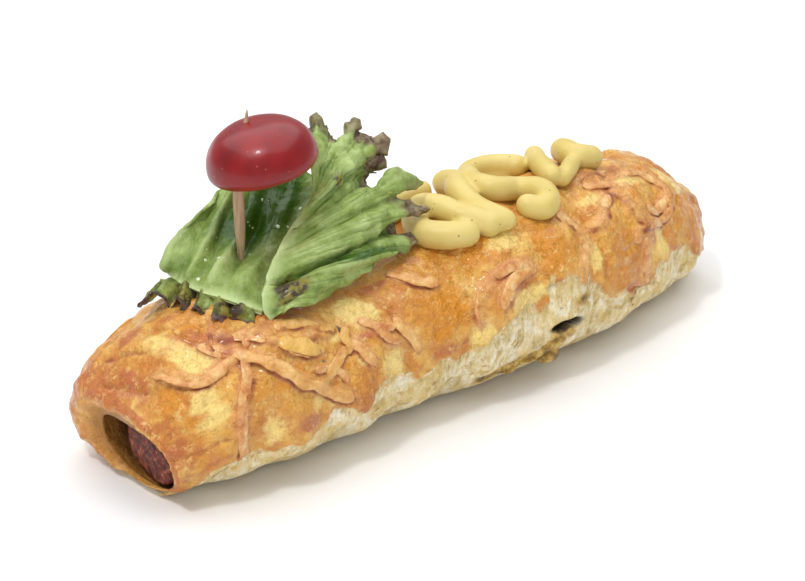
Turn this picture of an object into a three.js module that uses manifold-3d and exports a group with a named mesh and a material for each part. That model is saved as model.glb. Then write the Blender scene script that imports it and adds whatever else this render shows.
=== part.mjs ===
// A baked sausage roll that lies along X. Shreds of cheese are baked onto its crust and the sausage
// shows in its open end. On top stand curled lettuce lobes, half a cherry tomato on a wooden stick
// and a piped zigzag of sauce. Millimetres, +Z up, origin on the table under the middle of the roll.
import * as THREE from "three";
import { mergeVertices } from "three/addons/utils/BufferGeometryUtils.js";
import Module from "manifold-3d";

const wasm = await Module();
wasm.setup();

const { clamp, lerp, smoothstep, degToRad } = THREE.MathUtils;

// Driving sizes of the roll
const NEAR_END = -102; // the wide open end, where the sausage shows
const FAR_END = 112;
const LENGTH = FAR_END - NEAR_END;
const BELLY = 0.44; // where the roll is widest, as a share of its height
const PRESSED = 0.8; // how far the round underside is pressed flat by the table
const GAP = 0.35; // the air between two pieces that touch
const RING_STEP = 4.6; // along the crust
const RING_POINTS = 28; // round the crust
const SQUARED = { side: 0.92, over: 0.95, under: 0.97 }; // below 1 the section is fuller than an oval

// How the roll swells along its length: half width, height and shift to the far side
const SWELL = [
  { at: 0.0, half: 24.5, high: 28, shift: 5 },
  { at: 0.05, half: 27, high: 38.5, shift: 3.8 },
  { at: 0.1, half: 28.4, high: 44.5, shift: 2 },
  { at: 0.2, half: 28.7, high: 47, shift: -2 },
  { at: 0.35, half: 27, high: 45.5, shift: -1.7 },
  { at: 0.5, half: 29.6, high: 49.5, shift: -3.3 },
  { at: 0.65, half: 30, high: 50.8, shift: -4 },
  { at: 0.8, half: 27.5, high: 47.2, shift: -1.6 },
  { at: 0.92, half: 23.5, high: 41, shift: 2.5 },
  { at: 1.0, half: 14, high: 26, shift: 5 },
];

// The open ends, and the sausage that runs from one to the other
const MOUTH = { y: -1.3, z: 12.3, half: 15.3, high: 9, square: 0.8 };
const HOLLOW = { y: -1.5, z: 15.2, half: 17.1, high: 12.5, square: 0.8 };
const HOLLOW_DEEP = { full: 10, none: 22 }; // where the hollow starts to close, and has closed
const HOLLOW_STATIONS = [-97, -93, -90, -87, -84];
const BORE_STATIONS = { from: -80, to: 104, step: 26 };
const FAR_MOUTH = { y: 5, z: 12.6, half: 8.6, high: 8.2, square: 1 };
const MOUTH_SLANT = { back: 2, front: 0.5, reach: 9 }; // the floor of the near mouth lies back
const END_RAISED = { high: 2.6, from: 97, to: 104 }; // the floor of the near end curls off the table
const LIP = { shares: [0.35, 0.7, 1], bulge: 0.22, lean: 1.15 };
const SAUSAGE = { radius: 13, endRadius: 11.8, endY: -4.5, endZ: 15.2, near: -96.5, far: 107 };
const SAUSAGE_RISE = 0.46; // height of its middle as a share of the height of the roll
const SAUSAGE_FULL = -70; // where it has its full radius
const SAUSAGE_THIN = { from: 76, by: 0.42 };
// Rounding of its ends: distance out from the last full ring, and share of the radius there
const SAUSAGE_NEAR_CAPS = [[-1, 0.6], [-0.4, 0.88]];
const SAUSAGE_FAR_CAPS = [[-1, 0.86], [0, 0.5]];

// Relief of the crust
const VALLEYS = [
  { x: -7, wide: 5, deep: 2.2 },
  { x: -47, wide: 6, deep: 0.8 },
  { x: 41, wide: 6, deep: 1.0 },
  { x: 78, wide: 5, deep: 0.9 },
];
const VALLEY_SWAY = 3;
const RELIEF_FADE = { from: 125, to: 160 }; // degrees from the top
const LEDGE = { angle: 86, wide: 8, deep: 1.3 }; // the baked skin ends above the pale flaky side
const LUMPS_DRAWN = { count: 9, seed: 41, slow: 0.08, spread: 0.27, round: 5, deep: 0.42, fade: 0.15 };
const TEAR = { x: 27, y: -33.5, z: 17, long: 6, deep: 6.5, high: 2.4 };
const DRIPS = [
  { x: 20.7, angle: 131, radius: 4.2 },
  { x: 6.2, angle: 129, radius: 3.2 },
];
const DRIP_SHAPE = { long: 1.3, high: 0.45, sunk: 1 };
const FLAKE = {
  route: [[-91.5, -9.5, 3], [-93.8, -9.2, 1.6], [-97.2, -7.4, 1]], thick: 1.4, thin: 0.35, sides: 6, step: 2,
};

// Baked cheese shreds: routes over the crust as [x, degrees from the top towards the front]
const SHRED = { radius: 1.8, step: 5.2, sides: 6, least: 0.3 };
const SHREDS = [
  [[-95.5, 17], [-91.8, 35.6], [-87.2, 42.3], [-75, 36]],
  [[-75.4, 33], [-78.7, 58.5], [-83.8, 82], [-81.6, 110]],
  [[-77.5, 36], [-69.1, 55], [-60, 72.6], [-48.6, 86]],
  [[-76, 26], [-69.1, 36], [-60, 54]],
  [[-66, 32], [-57.7, 34.7], [-48, 43]],
  [[-67, 39], [-61, 47], [-54.5, 53]],
  [[-45.8, 53], [-40.1, 72.6]],
  [[-47, 56], [-57, 71]],
  [[-37.3, 52], [-30, 66.5]],
  [[-29.6, 50], [-24.8, 76]],
  [[-23.6, 21.5], [-11.1, 41.8]],
  [[19, 51], [5, 50], [-2, 64], [-3.4, 77]],
  [[19.5, 55], [8, 58], [3.5, 71]],
  [[33.9, 29], [40.2, 49.7], [33.4, 77]],
  [[58.3, 25], [53.8, 35.6], [43, 47.5]],
  [[60, 27], [65.1, 47.9], [65.8, 56]],
  [[84, 48], [77.6, 57], [59.5, 63.8]],
  [[64.5, 60], [63.6, 99]],
  [[66, 15], [77.6, 18.5], [85, 39.1], [69.7, 46.8]],
];
const BACK_SHREDS = { count: 12, seed: 12, from: -88, to: 96, top: -38, low: -84 };

// Sauce: half width and route of each pass of the piping bag; some lie on others
const BEAD = { sides: 8, step: 5.2, least: 0.3 };
const SAUCE_PASSES = [
  { radius: 3.4, route: [[-2, 13, 46.5], [4, 12, 47], [8.8, 12, 48.5], [14.1, 12, 49.5]] },
  { radius: 3.3, route: [[-2, 13, 49.5], [4, 12, 51.1], [8.8, 12, 51.2], [14.1, 12, 50.6]] },
  {
    radius: 3.8,
    route: [
      [16.3, 12, 50], [20, 11.3, 51.2], [19.2, 6, 53], [15.5, 0.8, 53.5], [13.2, -6.8, 52.8],
      [13.9, -14, 51.8], [15.8, -19, 50.3], [16.1, -21, 49],
    ],
  },
  {
    radius: 3.9,
    route: [
      [6.8, -17.4, 49.9], [2.4, -16.2, 49.8], [-1.9, -12.2, 49.4], [-4.6, -6.7, 49.2], [-2.1, -0.2, 50.1],
      [2, 2.2, 52], [4.3, -3.3, 53.2], [6.3, -10, 52.3], [9.9, -14.9, 51], [13.3, -19.9, 49.7],
    ],
  },
  { radius: 3.4, route: [[43.6, 8.5, 48.6], [37.7, 11, 48.4], [32.5, 12, 48.4], [28.5, 11, 49.4]] },
  {
    radius: 3.6,
    route: [
      [47.6, 2.4, 52.3], [44.5, 4, 52], [43.6, 8.5, 50.9], [37.7, 12, 51.6], [32.5, 13, 51.6],
      [28.2, 11.5, 51.8],
      [25.4, 7.5, 53], [21.5, 1, 54.2], [22.9, -5.9, 54.3], [30.7, -7.3, 52.7], [34.1, -13.4, 53.1],
      [33.4, -17.7, 51.9], [29.7, -19.4, 50.9], [26.3, -16.5, 51.6], [23.2, -15.4, 52.1],
    ],
  },
  { radius: 3.4, route: [[51, 10.5, 49], [51.5, 7, 49.5]] },
  {
    radius: 3.5,
    route: [
      [51, 11, 52], [51.8, 8, 51.9], [48.5, 2.5, 52.8], [45.7, -2.6, 53.4], [43.5, -8.5, 53.2],
      [43.8, -11.5, 52.4],
    ],
  },
  { radius: 3.9, route: [[62.8, 10, 51], [62.2, 5.5, 51.7], [61.3, 0, 52], [65, -1.7, 51.1], [69.8, -1, 49.6]] },
  { radius: 2.7, route: [[62, -0.2, 51.8], [59, -2, 51.8], [51, -7.5, 52.6], [44, -11.5, 52.2]] },
];

// Garnish
const STICK = [
  { at: [-56.8, 8, 40.5], radius: 0.25 },
  { at: [-56.8, 8, 51], radius: 0.8 },
  { at: [-56.8, 8, 61], radius: 1.45 },
  { at: [-56.8, 8, 72], radius: 1.5 },
  { at: [-55.6, 8, 83], radius: 1.3 },
  { at: [-53.6, 8, 90], radius: 0.75 },
  { at: [-53, 8, 94], radius: 0.2 },
];
const STICK_SIDES = 8;
const STICK_STEP = 5;
const TOMATO = {
  at: [-51.2, 4.2, 81], radius: 15.1, high: 10.4, under: 3.4, square: 0.74,
  lean: { aboutX: -7.8, aboutY: -9 },
};
// Profile below the widest ring, as shares of its radius and depth, then of the dome, in degrees
const CUT_FACE = [[0, 1.1], [0.5, 1.05], [0.85, 1], [0.91, 0.8], [0.97, 0.4]];
const DOME = [6, 20, 35, 50, 65, 80];
const LEAF_THICK = 1.3;

// Rows from the left edge of the cup, up and back to its rim
const CUP_ROWS = [
  [[-71.6, 22, 48], [-73, 15, 47.8], [-73.3, 5, 48.4], [-71.5, -5, 49], [-66, -13, 46.5]],
  [[-73, 22, 50.5], [-69.5, 14, 53], [-66, 7, 54], [-64, -2, 53.5], [-58.5, -7, 49]],
  [[-66, 24, 54.5], [-61, 18, 58], [-54, 13, 54], [-49.5, 8, 53], [-45, 1.5, 51]],
  [[-61, 24, 60], [-53, 22, 62], [-45, 19, 61.5], [-37.5, 15, 60.5], [-34, 8, 57]],
  [[-56, 24, 64], [-47.5, 25, 65.5], [-38, 23, 67], [-29.5, 19, 68], [-25.5, 13, 65]],
];
// The folded lobe spans from its rib, top to foot, out to its rim and swells towards the front
const FOLD_RIB = [
  [-36.7, 1, 66], [-40.7, 0, 62.7], [-46.5, -2, 60.3], [-51.9, -4, 57.9], [-57, -6.5, 55.5],
  [-61.4, -9, 53.1], [-64.4, -11.5, 50.2], [-65.2, -13.2, 47.4], [-63.6, -14.5, 45],
];
const FOLD_RIM = [
  [-28.5, 11.8, 81], [-18.5, 9.6, 79], [-12, 7, 71], [-12, 4, 64], [-5, 0.5, 62.5],
  [-6, -5, 56], [-10, -9, 50], [-28, -13.5, 48.6], [-50.2, -15, 45.7],
];
const FOLD_SWELL = [-3, -4.5, 3.5];
const FOLD_SPANS = 3;
// Rows of the frilled edge that hangs from under the cup
const FRILL_ROWS = [
  [[-75, 20, 47], [-73, 14, 48], [-72, 6, 48.6], [-71, -3, 48.8], [-67, -11, 47.6]],
  [[-86, 14, 45], [-80.5, 10, 45.5], [-78.6, 3, 44.8], [-75.5, -5, 45.3], [-69, -13.4, 44.9]],
];
const FRILL_START = 0.55; // how far out from a leaf's foot its frill begins
const CUP_SHAPE = {
  columns: 20, layers: 10, pleats: 3.5, pleatDeep: 1.2, frills: 5, frillDeep: 0.6, phase: 1.1,
};
const FOLD_SHAPE = {
  columns: 26, layers: 10, pleats: 4.5, pleatDeep: 1.2, frills: 8, frillDeep: 1.6, phase: 0.3,
};
const FRILL_SHAPE = {
  columns: 20, layers: 4, pleats: 5, pleatDeep: 0.6, frills: 6, frillDeep: 1.4, phase: 2,
};

const COLOURS = {
  crust: 0xd29a4c,
  sausage: 0x7a3430,
  sauce: 0xe6d888,
  lettuce: 0x86a85a,
  frill: 0x6c5a4a,
  tomato: 0x9c1f27,
  wood: 0xcdb183,
};

// A repeatable source of numbers from 0 to 1
function seeded(seed) {
  let state = seed;
  return () => {
    state = (1664525 * state + 1013904223) % 4294967296;
    return state / 4294967296;
  };
}

function signedPower(value, power) {
  return Math.sign(value) * Math.abs(value) ** power;
}

// Smooth value of one column of SWELL at a share of the length
function swell(share, key) {
  const t = clamp(share, 0, 1);
  const last = SWELL.length - 1;
  let i = 0;
  while (i < last - 1 && t >= SWELL[i + 1].at) i += 1;
  const slope = (k) => {
    const before = SWELL[Math.max(k - 1, 0)];
    const after = SWELL[Math.min(k + 1, last)];
    return (after[key] - before[key]) / (after.at - before.at);
  };
  const step = SWELL[i + 1].at - SWELL[i].at;
  const u = (t - SWELL[i].at) / step;
  const rise = u * u * (3 - 2 * u);
  const leave = u * (1 - u) * (1 - u) * step * slope(i);
  const arrive = u * u * (u - 1) * step * slope(i + 1);
  return lerp(SWELL[i][key], SWELL[i + 1][key], rise) + leave + arrive;
}

// Broad lumps of the crust: waves that close round the roll
const lumpDraw = seeded(LUMPS_DRAWN.seed);
const LUMPS = Array.from({ length: LUMPS_DRAWN.count }, (_, i) => ({
  along: (LUMPS_DRAWN.slow + LUMPS_DRAWN.spread * lumpDraw()) * (lumpDraw() < 0.5 ? -1 : 1),
  round: 1 + Math.floor(LUMPS_DRAWN.round * lumpDraw()),
  phase: 2 * Math.PI * lumpDraw(),
  deep: LUMPS_DRAWN.deep / (1 + LUMPS_DRAWN.fade * i),
}));

// Height of the relief over the smooth roll; angle runs from the top towards the front
function relief(x, angle) {
  const down = Math.abs(Math.atan2(Math.sin(angle), Math.cos(angle)));
  const above = 1 - smoothstep(down, degToRad(RELIEF_FADE.from), degToRad(RELIEF_FADE.to));
  const ledge = smoothstep(down, degToRad(LEDGE.angle - LEDGE.wide), degToRad(LEDGE.angle + LEDGE.wide));
  let height = -LEDGE.deep * ledge;
  for (const lump of LUMPS) {
    height += lump.deep * Math.sin(lump.along * x + lump.round * angle + lump.phase);
  }
  for (const valley of VALLEYS) {
    const off = (x - valley.x - VALLEY_SWAY * Math.cos(angle)) / valley.wide;
    height -= valley.deep * Math.exp(-off * off);
  }
  return height * above;
}

function mouthSlant(x, angle) {
  const back = 1 - Math.cos(angle) + MOUTH_SLANT.front * Math.max(Math.sin(angle), 0);
  return MOUTH_SLANT.back * back * Math.exp(-(x - NEAR_END) / MOUTH_SLANT.reach);
}

// A point of the crust, moved out by grow
function crustPoint(x, angle, grow = 0) {
  const share = (x - NEAR_END) / LENGTH;
  const out = grow + relief(x, angle);
  const half = swell(share, "half") + out;
  const high = swell(share, "high");
  const middle = high * BELLY;
  const up = Math.cos(angle);
  const y = swell(share, "shift") - half * signedPower(Math.sin(angle), SQUARED.side);
  const z = up >= 0
    ? middle + (high - middle + out) * up ** SQUARED.over
    : Math.max(middle - (middle + PRESSED + out) * (-up) ** SQUARED.under, 0);
  const raised = END_RAISED.high * smoothstep(-x, END_RAISED.from, END_RAISED.to);
  return new THREE.Vector3(x + mouthSlant(x, angle), y, z + raised * Math.max(1 - z / middle, 0));
}

// A point of a squarish oval across the roll
function ovalPoint(oval, x, angle) {
  const y = oval.y - oval.half * signedPower(Math.sin(angle), oval.square);
  const z = oval.z + oval.high * signedPower(Math.cos(angle), oval.square);
  return new THREE.Vector3(x, y, z);
}

// A point of the sausage, moved out by grow
function sausagePoint(x, angle, grow = 0) {
  const share = (x - NEAR_END) / LENGTH;
  const inside = smoothstep(x, SAUSAGE.near, SAUSAGE_FULL);
  const thin = 1 - SAUSAGE_THIN.by * smoothstep(x, SAUSAGE_THIN.from, FAR_END);
  const radius = lerp(SAUSAGE.endRadius, SAUSAGE.radius, inside) * thin + grow;
  const y = lerp(SAUSAGE.endY, swell(share, "shift"), inside);
  const z = lerp(SAUSAGE.endZ, SAUSAGE_RISE * swell(share, "high"), inside);
  return new THREE.Vector3(x, y - radius * Math.sin(angle), z + radius * Math.cos(angle));
}

function sausageMiddle(x) {
  return sausagePoint(x, 0).lerp(sausagePoint(x, Math.PI), 0.5);
}

// A point of the wall of the hollow behind the near mouth, which closes onto the sausage
function hollowPoint(x, angle) {
  const closing = smoothstep(x - NEAR_END, HOLLOW_DEEP.full, HOLLOW_DEEP.none);
  const wall = ovalPoint(HOLLOW, x, angle).lerp(sausagePoint(x, angle, GAP), closing);
  const middle = sausageMiddle(x);
  const least = middle.distanceTo(sausagePoint(x, angle, GAP));
  const away = wall.clone().sub(middle);
  return away.length() < least ? middle.add(away.setLength(least)) : wall;
}

// The round lip between the outside of the crust and a mouth; share 0 is outside and 1 is inside
function lipPoint(endX, away, oval, angle, share) {
  const outer = crustPoint(endX, angle);
  const inner = ovalPoint(oval, endX, angle);
  inner.x = outer.x;
  const thick = outer.distanceTo(inner);
  const point = outer.lerp(inner, share);
  point.x += away * LIP.bulge * thick * Math.sin(Math.PI * Math.min(share * LIP.lean, 1));
  return point;
}

function solidFrom(positions, indices) {
  const mesh = new wasm.Mesh({
    numProp: 3,
    vertProperties: new Float32Array(positions),
    triVerts: new Uint32Array(indices),
  });
  return new wasm.Manifold(mesh);
}

// Closes a list of rings into a ring shape, last ring to first, or into a body with two caps
function ringSolid(rings, capped) {
  const around = rings[0].length;
  const positions = rings.flat().flatMap((p) => p.toArray());
  const indices = [];
  const spans = capped ? rings.length - 1 : rings.length;
  for (let i = 0; i < spans; i += 1) {
    const next = (i + 1) % rings.length;
    for (let j = 0; j < around; j += 1) {
      const k = (j + 1) % around;
      const [a, b] = [i * around + j, i * around + k];
      const [c, d] = [next * around + j, next * around + k];
      indices.push(a, c, d, a, d, b);
    }
  }
  if (capped) {
    for (const [ring, flip] of [[0, false], [rings.length - 1, true]]) {
      const middle = new THREE.Vector3();
      for (const p of rings[ring]) middle.addScaledVector(p, 1 / around);
      const centre = positions.push(...middle.toArray()) / 3 - 1;
      for (let j = 0; j < around; j += 1) {
        const a = ring * around + j;
        const b = ring * around + ((j + 1) % around);
        indices.push(...(flip ? [centre, b, a] : [centre, a, b]));
      }
    }
  }
  return solidFrom(positions, indices);
}

// The outward side faces out whichever way the rings were given
function outward(solid) {
  if (solid.volume() >= 0) return solid;
  const mesh = solid.getMesh();
  const flipped = [];
  for (let i = 0; i < mesh.triVerts.length; i += 3) {
    flipped.push(mesh.triVerts[i], mesh.triVerts[i + 2], mesh.triVerts[i + 1]);
  }
  return solidFrom([...mesh.vertProperties], flipped);
}

function ring(count, pointAt) {
  return Array.from({ length: count }, (_, j) => pointAt((2 * Math.PI * j) / count));
}

function evenSteps(from, to, step) {
  const count = Math.max(1, Math.round((to - from) / step));
  return Array.from({ length: count + 1 }, (_, i) => lerp(from, to, i / count));
}

// A round bar along a curve; radiusAt takes a share of its length
function sweep(curve, radiusAt, sides, step) {
  const count = Math.max(4, Math.ceil(curve.getLength() / step));
  const frames = curve.computeFrenetFrames(count, false);
  const rings = [];
  for (let i = 0; i <= count; i += 1) {
    const centre = curve.getPointAt(i / count);
    const radius = radiusAt(i / count);
    rings.push(ring(sides, (angle) => centre.clone()
      .addScaledVector(frames.normals[i], radius * Math.cos(angle))
      .addScaledVector(frames.binormals[i], radius * Math.sin(angle))));
  }
  return outward(ringSolid(rings, true));
}

// Full in the middle and round at both ends
function roundEnds(radius, length, least) {
  const tip = radius / length;
  return (share) => {
    const left = Math.min(share, 1 - share) / tip;
    const curl = Math.sqrt(Math.max(0, 1 - (1 - Math.min(left, 1)) ** 2));
    return radius * Math.max(least, curl);
  };
}

function ball(at, rx, ry, rz) {
  const sphere = new THREE.SphereGeometry(1, 12, 8);
  sphere.scale(rx, ry, rz);
  sphere.translate(...at);
  return outward(solidOfGeometry(sphere));
}

function solidOfGeometry(geometry) {
  geometry.deleteAttribute("normal");
  geometry.deleteAttribute("uv");
  const merged = mergeVertices(geometry, 1e-4);
  return solidFrom([...merged.attributes.position.array], [...merged.index.array]);
}

// The largest body of a solid, with sealed hollows filled and loose scraps dropped
function largest(solid) {
  const bodies = solid.decompose();
  return bodies.reduce((best, body) => (body.volume() > best.volume() ? body : best));
}

function joined(solids) {
  return solids.reduce((all, one) => all.add(one));
}

// The tube of pastry round the sausage, with both lips
function crustShell(grow) {
  const around = RING_POINTS;
  const outer = evenSteps(NEAR_END, FAR_END, RING_STEP)
    .map((x) => ring(around, (angle) => crustPoint(x, angle, grow)));
  const farLip = LIP.shares.map((share) => (
    ring(around, (angle) => lipPoint(FAR_END, 1, FAR_MOUTH, angle, share))));
  const bore = evenSteps(BORE_STATIONS.from, BORE_STATIONS.to, BORE_STATIONS.step).reverse()
    .map((x) => ring(around, (angle) => sausagePoint(x, angle, GAP)));
  const hollow = [...HOLLOW_STATIONS].reverse()
    .map((x) => ring(around, (angle) => hollowPoint(x, angle)));
  const nearLip = [...LIP.shares].reverse().map((share) => (
    ring(around, (angle) => lipPoint(NEAR_END, -1, MOUTH, angle, share))));
  return outward(ringSolid([...outer, ...farLip, ...bore, ...hollow, ...nearLip], false));
}

function shredSolid(route, grow) {
  const points = route.map(([x, degrees]) => crustPoint(x, degToRad(degrees)));
  const curve = new THREE.CatmullRomCurve3(points);
  const radius = SHRED.radius + grow;
  return sweep(curve, roundEnds(radius, curve.getLength(), SHRED.least), SHRED.sides, SHRED.step);
}

// Shreds on the side that faces away: short bent routes, evenly spread and drawn by a seed
function backRoutes() {
  const draw = seeded(BACK_SHREDS.seed);
  const { count, from, to, top, low } = BACK_SHREDS;
  return Array.from({ length: count }, (_, i) => {
    const x = lerp(from, to, (i + 0.2 + 0.6 * draw()) / count);
    const start = lerp(top, low, 0.5 * draw());
    const lean = 14 * (draw() - 0.5);
    const drop = 16 + 14 * draw();
    const bend = 6 * (draw() - 0.5);
    return [[x, start], [x + lean / 2 + bend, start - drop / 2], [x + lean, start - drop]];
  });
}

// The pastry with everything that is baked onto it; grow makes a tool to cut what lies on it
function pastrySolid(grow) {
  const shreds = [...SHREDS, ...backRoutes()].map((route) => shredSolid(route, grow));
  const drips = DRIPS.map(({ x, angle, radius }) => {
    const at = crustPoint(x, degToRad(angle), -DRIP_SHAPE.sunk);
    const high = DRIP_SHAPE.high * radius;
    return ball([at.x, at.y, Math.max(at.z, high)], DRIP_SHAPE.long * radius, radius, high);
  });
  const flakeCurve = new THREE.CatmullRomCurve3(FLAKE.route.map((p) => new THREE.Vector3(...p)));
  const flake = sweep(flakeCurve, (share) => lerp(FLAKE.thick, FLAKE.thin, share), FLAKE.sides, FLAKE.step);
  const tear = ball([TEAR.x, TEAR.y, TEAR.z], TEAR.long, TEAR.deep, TEAR.high);
  const body = joined([crustShell(grow), ...shreds, ...drips, flake]).subtract(tear);
  return largest(body);
}

function sausageSolid() {
  const around = 18;
  const { near, far } = SAUSAGE;
  const cap = (x, share) => (
    ring(around, (angle) => sausageMiddle(x).lerp(sausagePoint(x, angle), share)));
  const rings = SAUSAGE_NEAR_CAPS.map(([out, share]) => cap(near + out, share));
  const { from, to, step } = BORE_STATIONS;
  for (const x of [near + 1.2, ...HOLLOW_STATIONS.slice(1), ...evenSteps(from, to, step)]) {
    rings.push(cap(x, 1));
  }
  rings.push(...SAUSAGE_FAR_CAPS.map(([out, share]) => cap(far + out, share)));
  return outward(ringSolid(rings, true));
}

function saucePass({ radius, route }) {
  const curve = new THREE.CatmullRomCurve3(route.map((p) => new THREE.Vector3(...p)));
  return sweep(curve, roundEnds(radius, curve.getLength(), BEAD.least), BEAD.sides, BEAD.step);
}

// Rows that span from one curve to another, swollen in the middle
function spanRows(inner, outer, swollen) {
  const push = new THREE.Vector3(...swollen);
  return evenSteps(0, 1, 1 / FOLD_SPANS).map((v) => inner.map((p, i) => new THREE.Vector3(...p)
    .lerp(new THREE.Vector3(...outer[i]), v)
    .addScaledVector(push, Math.sin(Math.PI * v))
    .toArray()));
}

// A thin wavy solid through rows of points, with pleats and a frill that grows to the last row
function leafSolid(rows, { columns, layers, pleats, pleatDeep, frills, frillDeep, phase }, thick) {
  const rowCurves = rows.map((row) => (
    new THREE.CatmullRomCurve3(row.map((p) => new THREE.Vector3(...p)))));
  const surface = (u, v) => new THREE.CatmullRomCurve3(rowCurves.map((c) => c.getPoint(u))).getPoint(v);
  const grid = [];
  for (let i = 0; i <= columns; i += 1) {
    for (let j = 0; j <= layers; j += 1) {
      const [u, v] = [i / columns, j / layers];
      const [left, right] = [surface(Math.max(u - 0.01, 0), v), surface(Math.min(u + 0.01, 1), v)];
      const [low, high] = [surface(u, Math.max(v - 0.01, 0)), surface(u, Math.min(v + 0.01, 1))];
      const normal = right.sub(left).cross(high.sub(low)).normalize();
      const pleat = pleatDeep * Math.sin(2 * Math.PI * pleats * u + phase) * Math.sin(Math.PI * v);
      const frill = frillDeep * Math.sin(2 * Math.PI * frills * u + phase) * smoothstep(v, FRILL_START, 1);
      grid.push({ point: surface(u, v).addScaledVector(normal, pleat + frill), normal });
    }
  }
  return outward(thickSheet(grid, columns, layers, thick));
}

// Two copies of a grid of points, a thickness apart and split alike, closed round their edge
function thickSheet(grid, columns, layers, thick) {
  const positions = [];
  for (const side of [0.5, -0.5]) {
    for (const { point, normal } of grid) {
      positions.push(...point.clone().addScaledVector(normal, side * thick).toArray());
    }
  }
  const across = layers + 1;
  const under = grid.length;
  const indices = [];
  for (let i = 0; i < columns; i += 1) {
    for (let j = 0; j < layers; j += 1) {
      const a = i * across + j;
      const [b, c, d] = [a + 1, a + across, a + across + 1];
      indices.push(a, c, d, a, d, b);
      indices.push(under + a, under + d, under + c, under + a, under + b, under + d);
    }
  }
  const edge = [];
  for (let i = 0; i < columns; i += 1) edge.push(i * across);
  for (let j = 0; j < layers; j += 1) edge.push(columns * across + j);
  for (let i = columns; i > 0; i -= 1) edge.push(i * across + layers);
  for (let j = layers; j > 0; j -= 1) edge.push(j);
  edge.forEach((a, i) => {
    const b = edge[(i + 1) % edge.length];
    indices.push(a, under + a, under + b, a, under + b, b);
  });
  return solidFrom(positions, indices);
}

function stickSolid(grow) {
  const curve = new THREE.CatmullRomCurve3(STICK.map(({ at }) => new THREE.Vector3(...at)));
  const heights = STICK.map(({ at }) => at[2]);
  const radiusAt = (share) => {
    const z = curve.getPointAt(share).z;
    let i = 0;
    while (i < STICK.length - 2 && z > heights[i + 1]) i += 1;
    const along = clamp((z - heights[i]) / (heights[i + 1] - heights[i]), 0, 1);
    return lerp(STICK[i].radius, STICK[i + 1].radius, along) + grow;
  };
  return sweep(curve, radiusAt, STICK_SIDES, STICK_STEP);
}

// Half a tomato, dome up, with a slightly bulging cut face
function tomatoSolid() {
  const { at, radius, high, under, square, lean } = TOMATO;
  const profile = CUT_FACE.map(([out, bulge]) => new THREE.Vector2(out * radius, -bulge * under));
  for (const degrees of DOME) {
    const turn = degToRad(degrees);
    profile.push(new THREE.Vector2(radius * Math.cos(turn) ** square, high * Math.sin(turn)));
  }
  profile.push(new THREE.Vector2(0, high));
  const dome = new THREE.LatheGeometry(profile, 20);
  dome.rotateX(Math.PI / 2);
  dome.rotateY(degToRad(lean.aboutY));
  dome.rotateX(degToRad(lean.aboutX));
  dome.translate(...at);
  return outward(solidOfGeometry(dome));
}

function meshOf(name, solid, colour, roughness) {
  const mesh = solid.getMesh();
  const geometry = new THREE.BufferGeometry()
    .setAttribute("position", new THREE.BufferAttribute(mesh.vertProperties, 3))
    .setIndex(new THREE.BufferAttribute(mesh.triVerts, 1));
  geometry.computeVertexNormals();
  const material = new THREE.MeshStandardMaterial({ color: colour, roughness, metalness: 0 });
  const made = new THREE.Mesh(geometry, material);
  made.name = name;
  return made;
}

// Each piece is cut clear of the ones that it lies on
const pastryTool = pastrySolid(GAP);
const stickTool = stickSolid(GAP);
const pastry = pastrySolid(0).subtract(stickTool);
const foldRows = spanRows(FOLD_RIB, FOLD_RIM, FOLD_SWELL);
const fold = leafSolid(foldRows, FOLD_SHAPE, LEAF_THICK);
const foldTool = leafSolid(foldRows, FOLD_SHAPE, LEAF_THICK + 2 * GAP);
const cup = leafSolid(CUP_ROWS, CUP_SHAPE, LEAF_THICK);
const cupTool = leafSolid(CUP_ROWS, CUP_SHAPE, LEAF_THICK + 2 * GAP);
const frill = leafSolid(FRILL_ROWS, FRILL_SHAPE, LEAF_THICK);
const sauce = joined(SAUCE_PASSES.map(saucePass));

const roll = new THREE.Group();
roll.add(
  meshOf("pastry", largest(pastry), COLOURS.crust, 0.45),
  meshOf("filling", sausageSolid(), COLOURS.sausage, 0.5),
  meshOf("sauce", largest(sauce.subtract(pastryTool).subtract(foldTool)), COLOURS.sauce, 0.4),
  meshOf("lettuce_fold", largest(fold.subtract(pastryTool)), COLOURS.lettuce, 0.5),
  meshOf("lettuce_cup", largest(cup.subtract(pastryTool).subtract(foldTool).subtract(stickTool)),
    COLOURS.lettuce, 0.5),
  meshOf("lettuce_frill", largest(frill.subtract(pastryTool).subtract(foldTool).subtract(cupTool)),
    COLOURS.frill, 0.6),
  meshOf("tomato", largest(tomatoSolid().subtract(stickTool)), COLOURS.tomato, 0.25),
  meshOf("stick", stickSolid(0), COLOURS.wood, 0.7),
);

export default roll;
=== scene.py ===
# A baked sausage roll: a pastry crust with cheese shreds baked onto it, the sausage in its open end,
# and on top lettuce, half a cherry tomato on a wooden stick and a piped zigzag of sauce.
# Shapes are worked out in millimetres and become metres when a mesh is made.
import itertools
import math

import bpy
import numpy as np
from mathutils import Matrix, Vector, kdtree


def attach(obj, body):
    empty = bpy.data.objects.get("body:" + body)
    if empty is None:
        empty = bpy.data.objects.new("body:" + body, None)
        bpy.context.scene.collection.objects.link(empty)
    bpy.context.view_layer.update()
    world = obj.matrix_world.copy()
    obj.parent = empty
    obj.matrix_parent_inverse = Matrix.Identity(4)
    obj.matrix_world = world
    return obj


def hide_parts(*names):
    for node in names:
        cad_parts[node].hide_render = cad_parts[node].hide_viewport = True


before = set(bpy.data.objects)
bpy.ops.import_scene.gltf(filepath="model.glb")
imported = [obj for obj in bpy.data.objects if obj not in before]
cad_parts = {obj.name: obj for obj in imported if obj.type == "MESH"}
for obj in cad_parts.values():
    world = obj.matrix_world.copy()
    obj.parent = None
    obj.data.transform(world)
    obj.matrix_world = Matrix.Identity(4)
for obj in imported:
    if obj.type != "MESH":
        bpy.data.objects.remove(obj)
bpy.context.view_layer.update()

MM = 0.001
BODY = "root"

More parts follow.
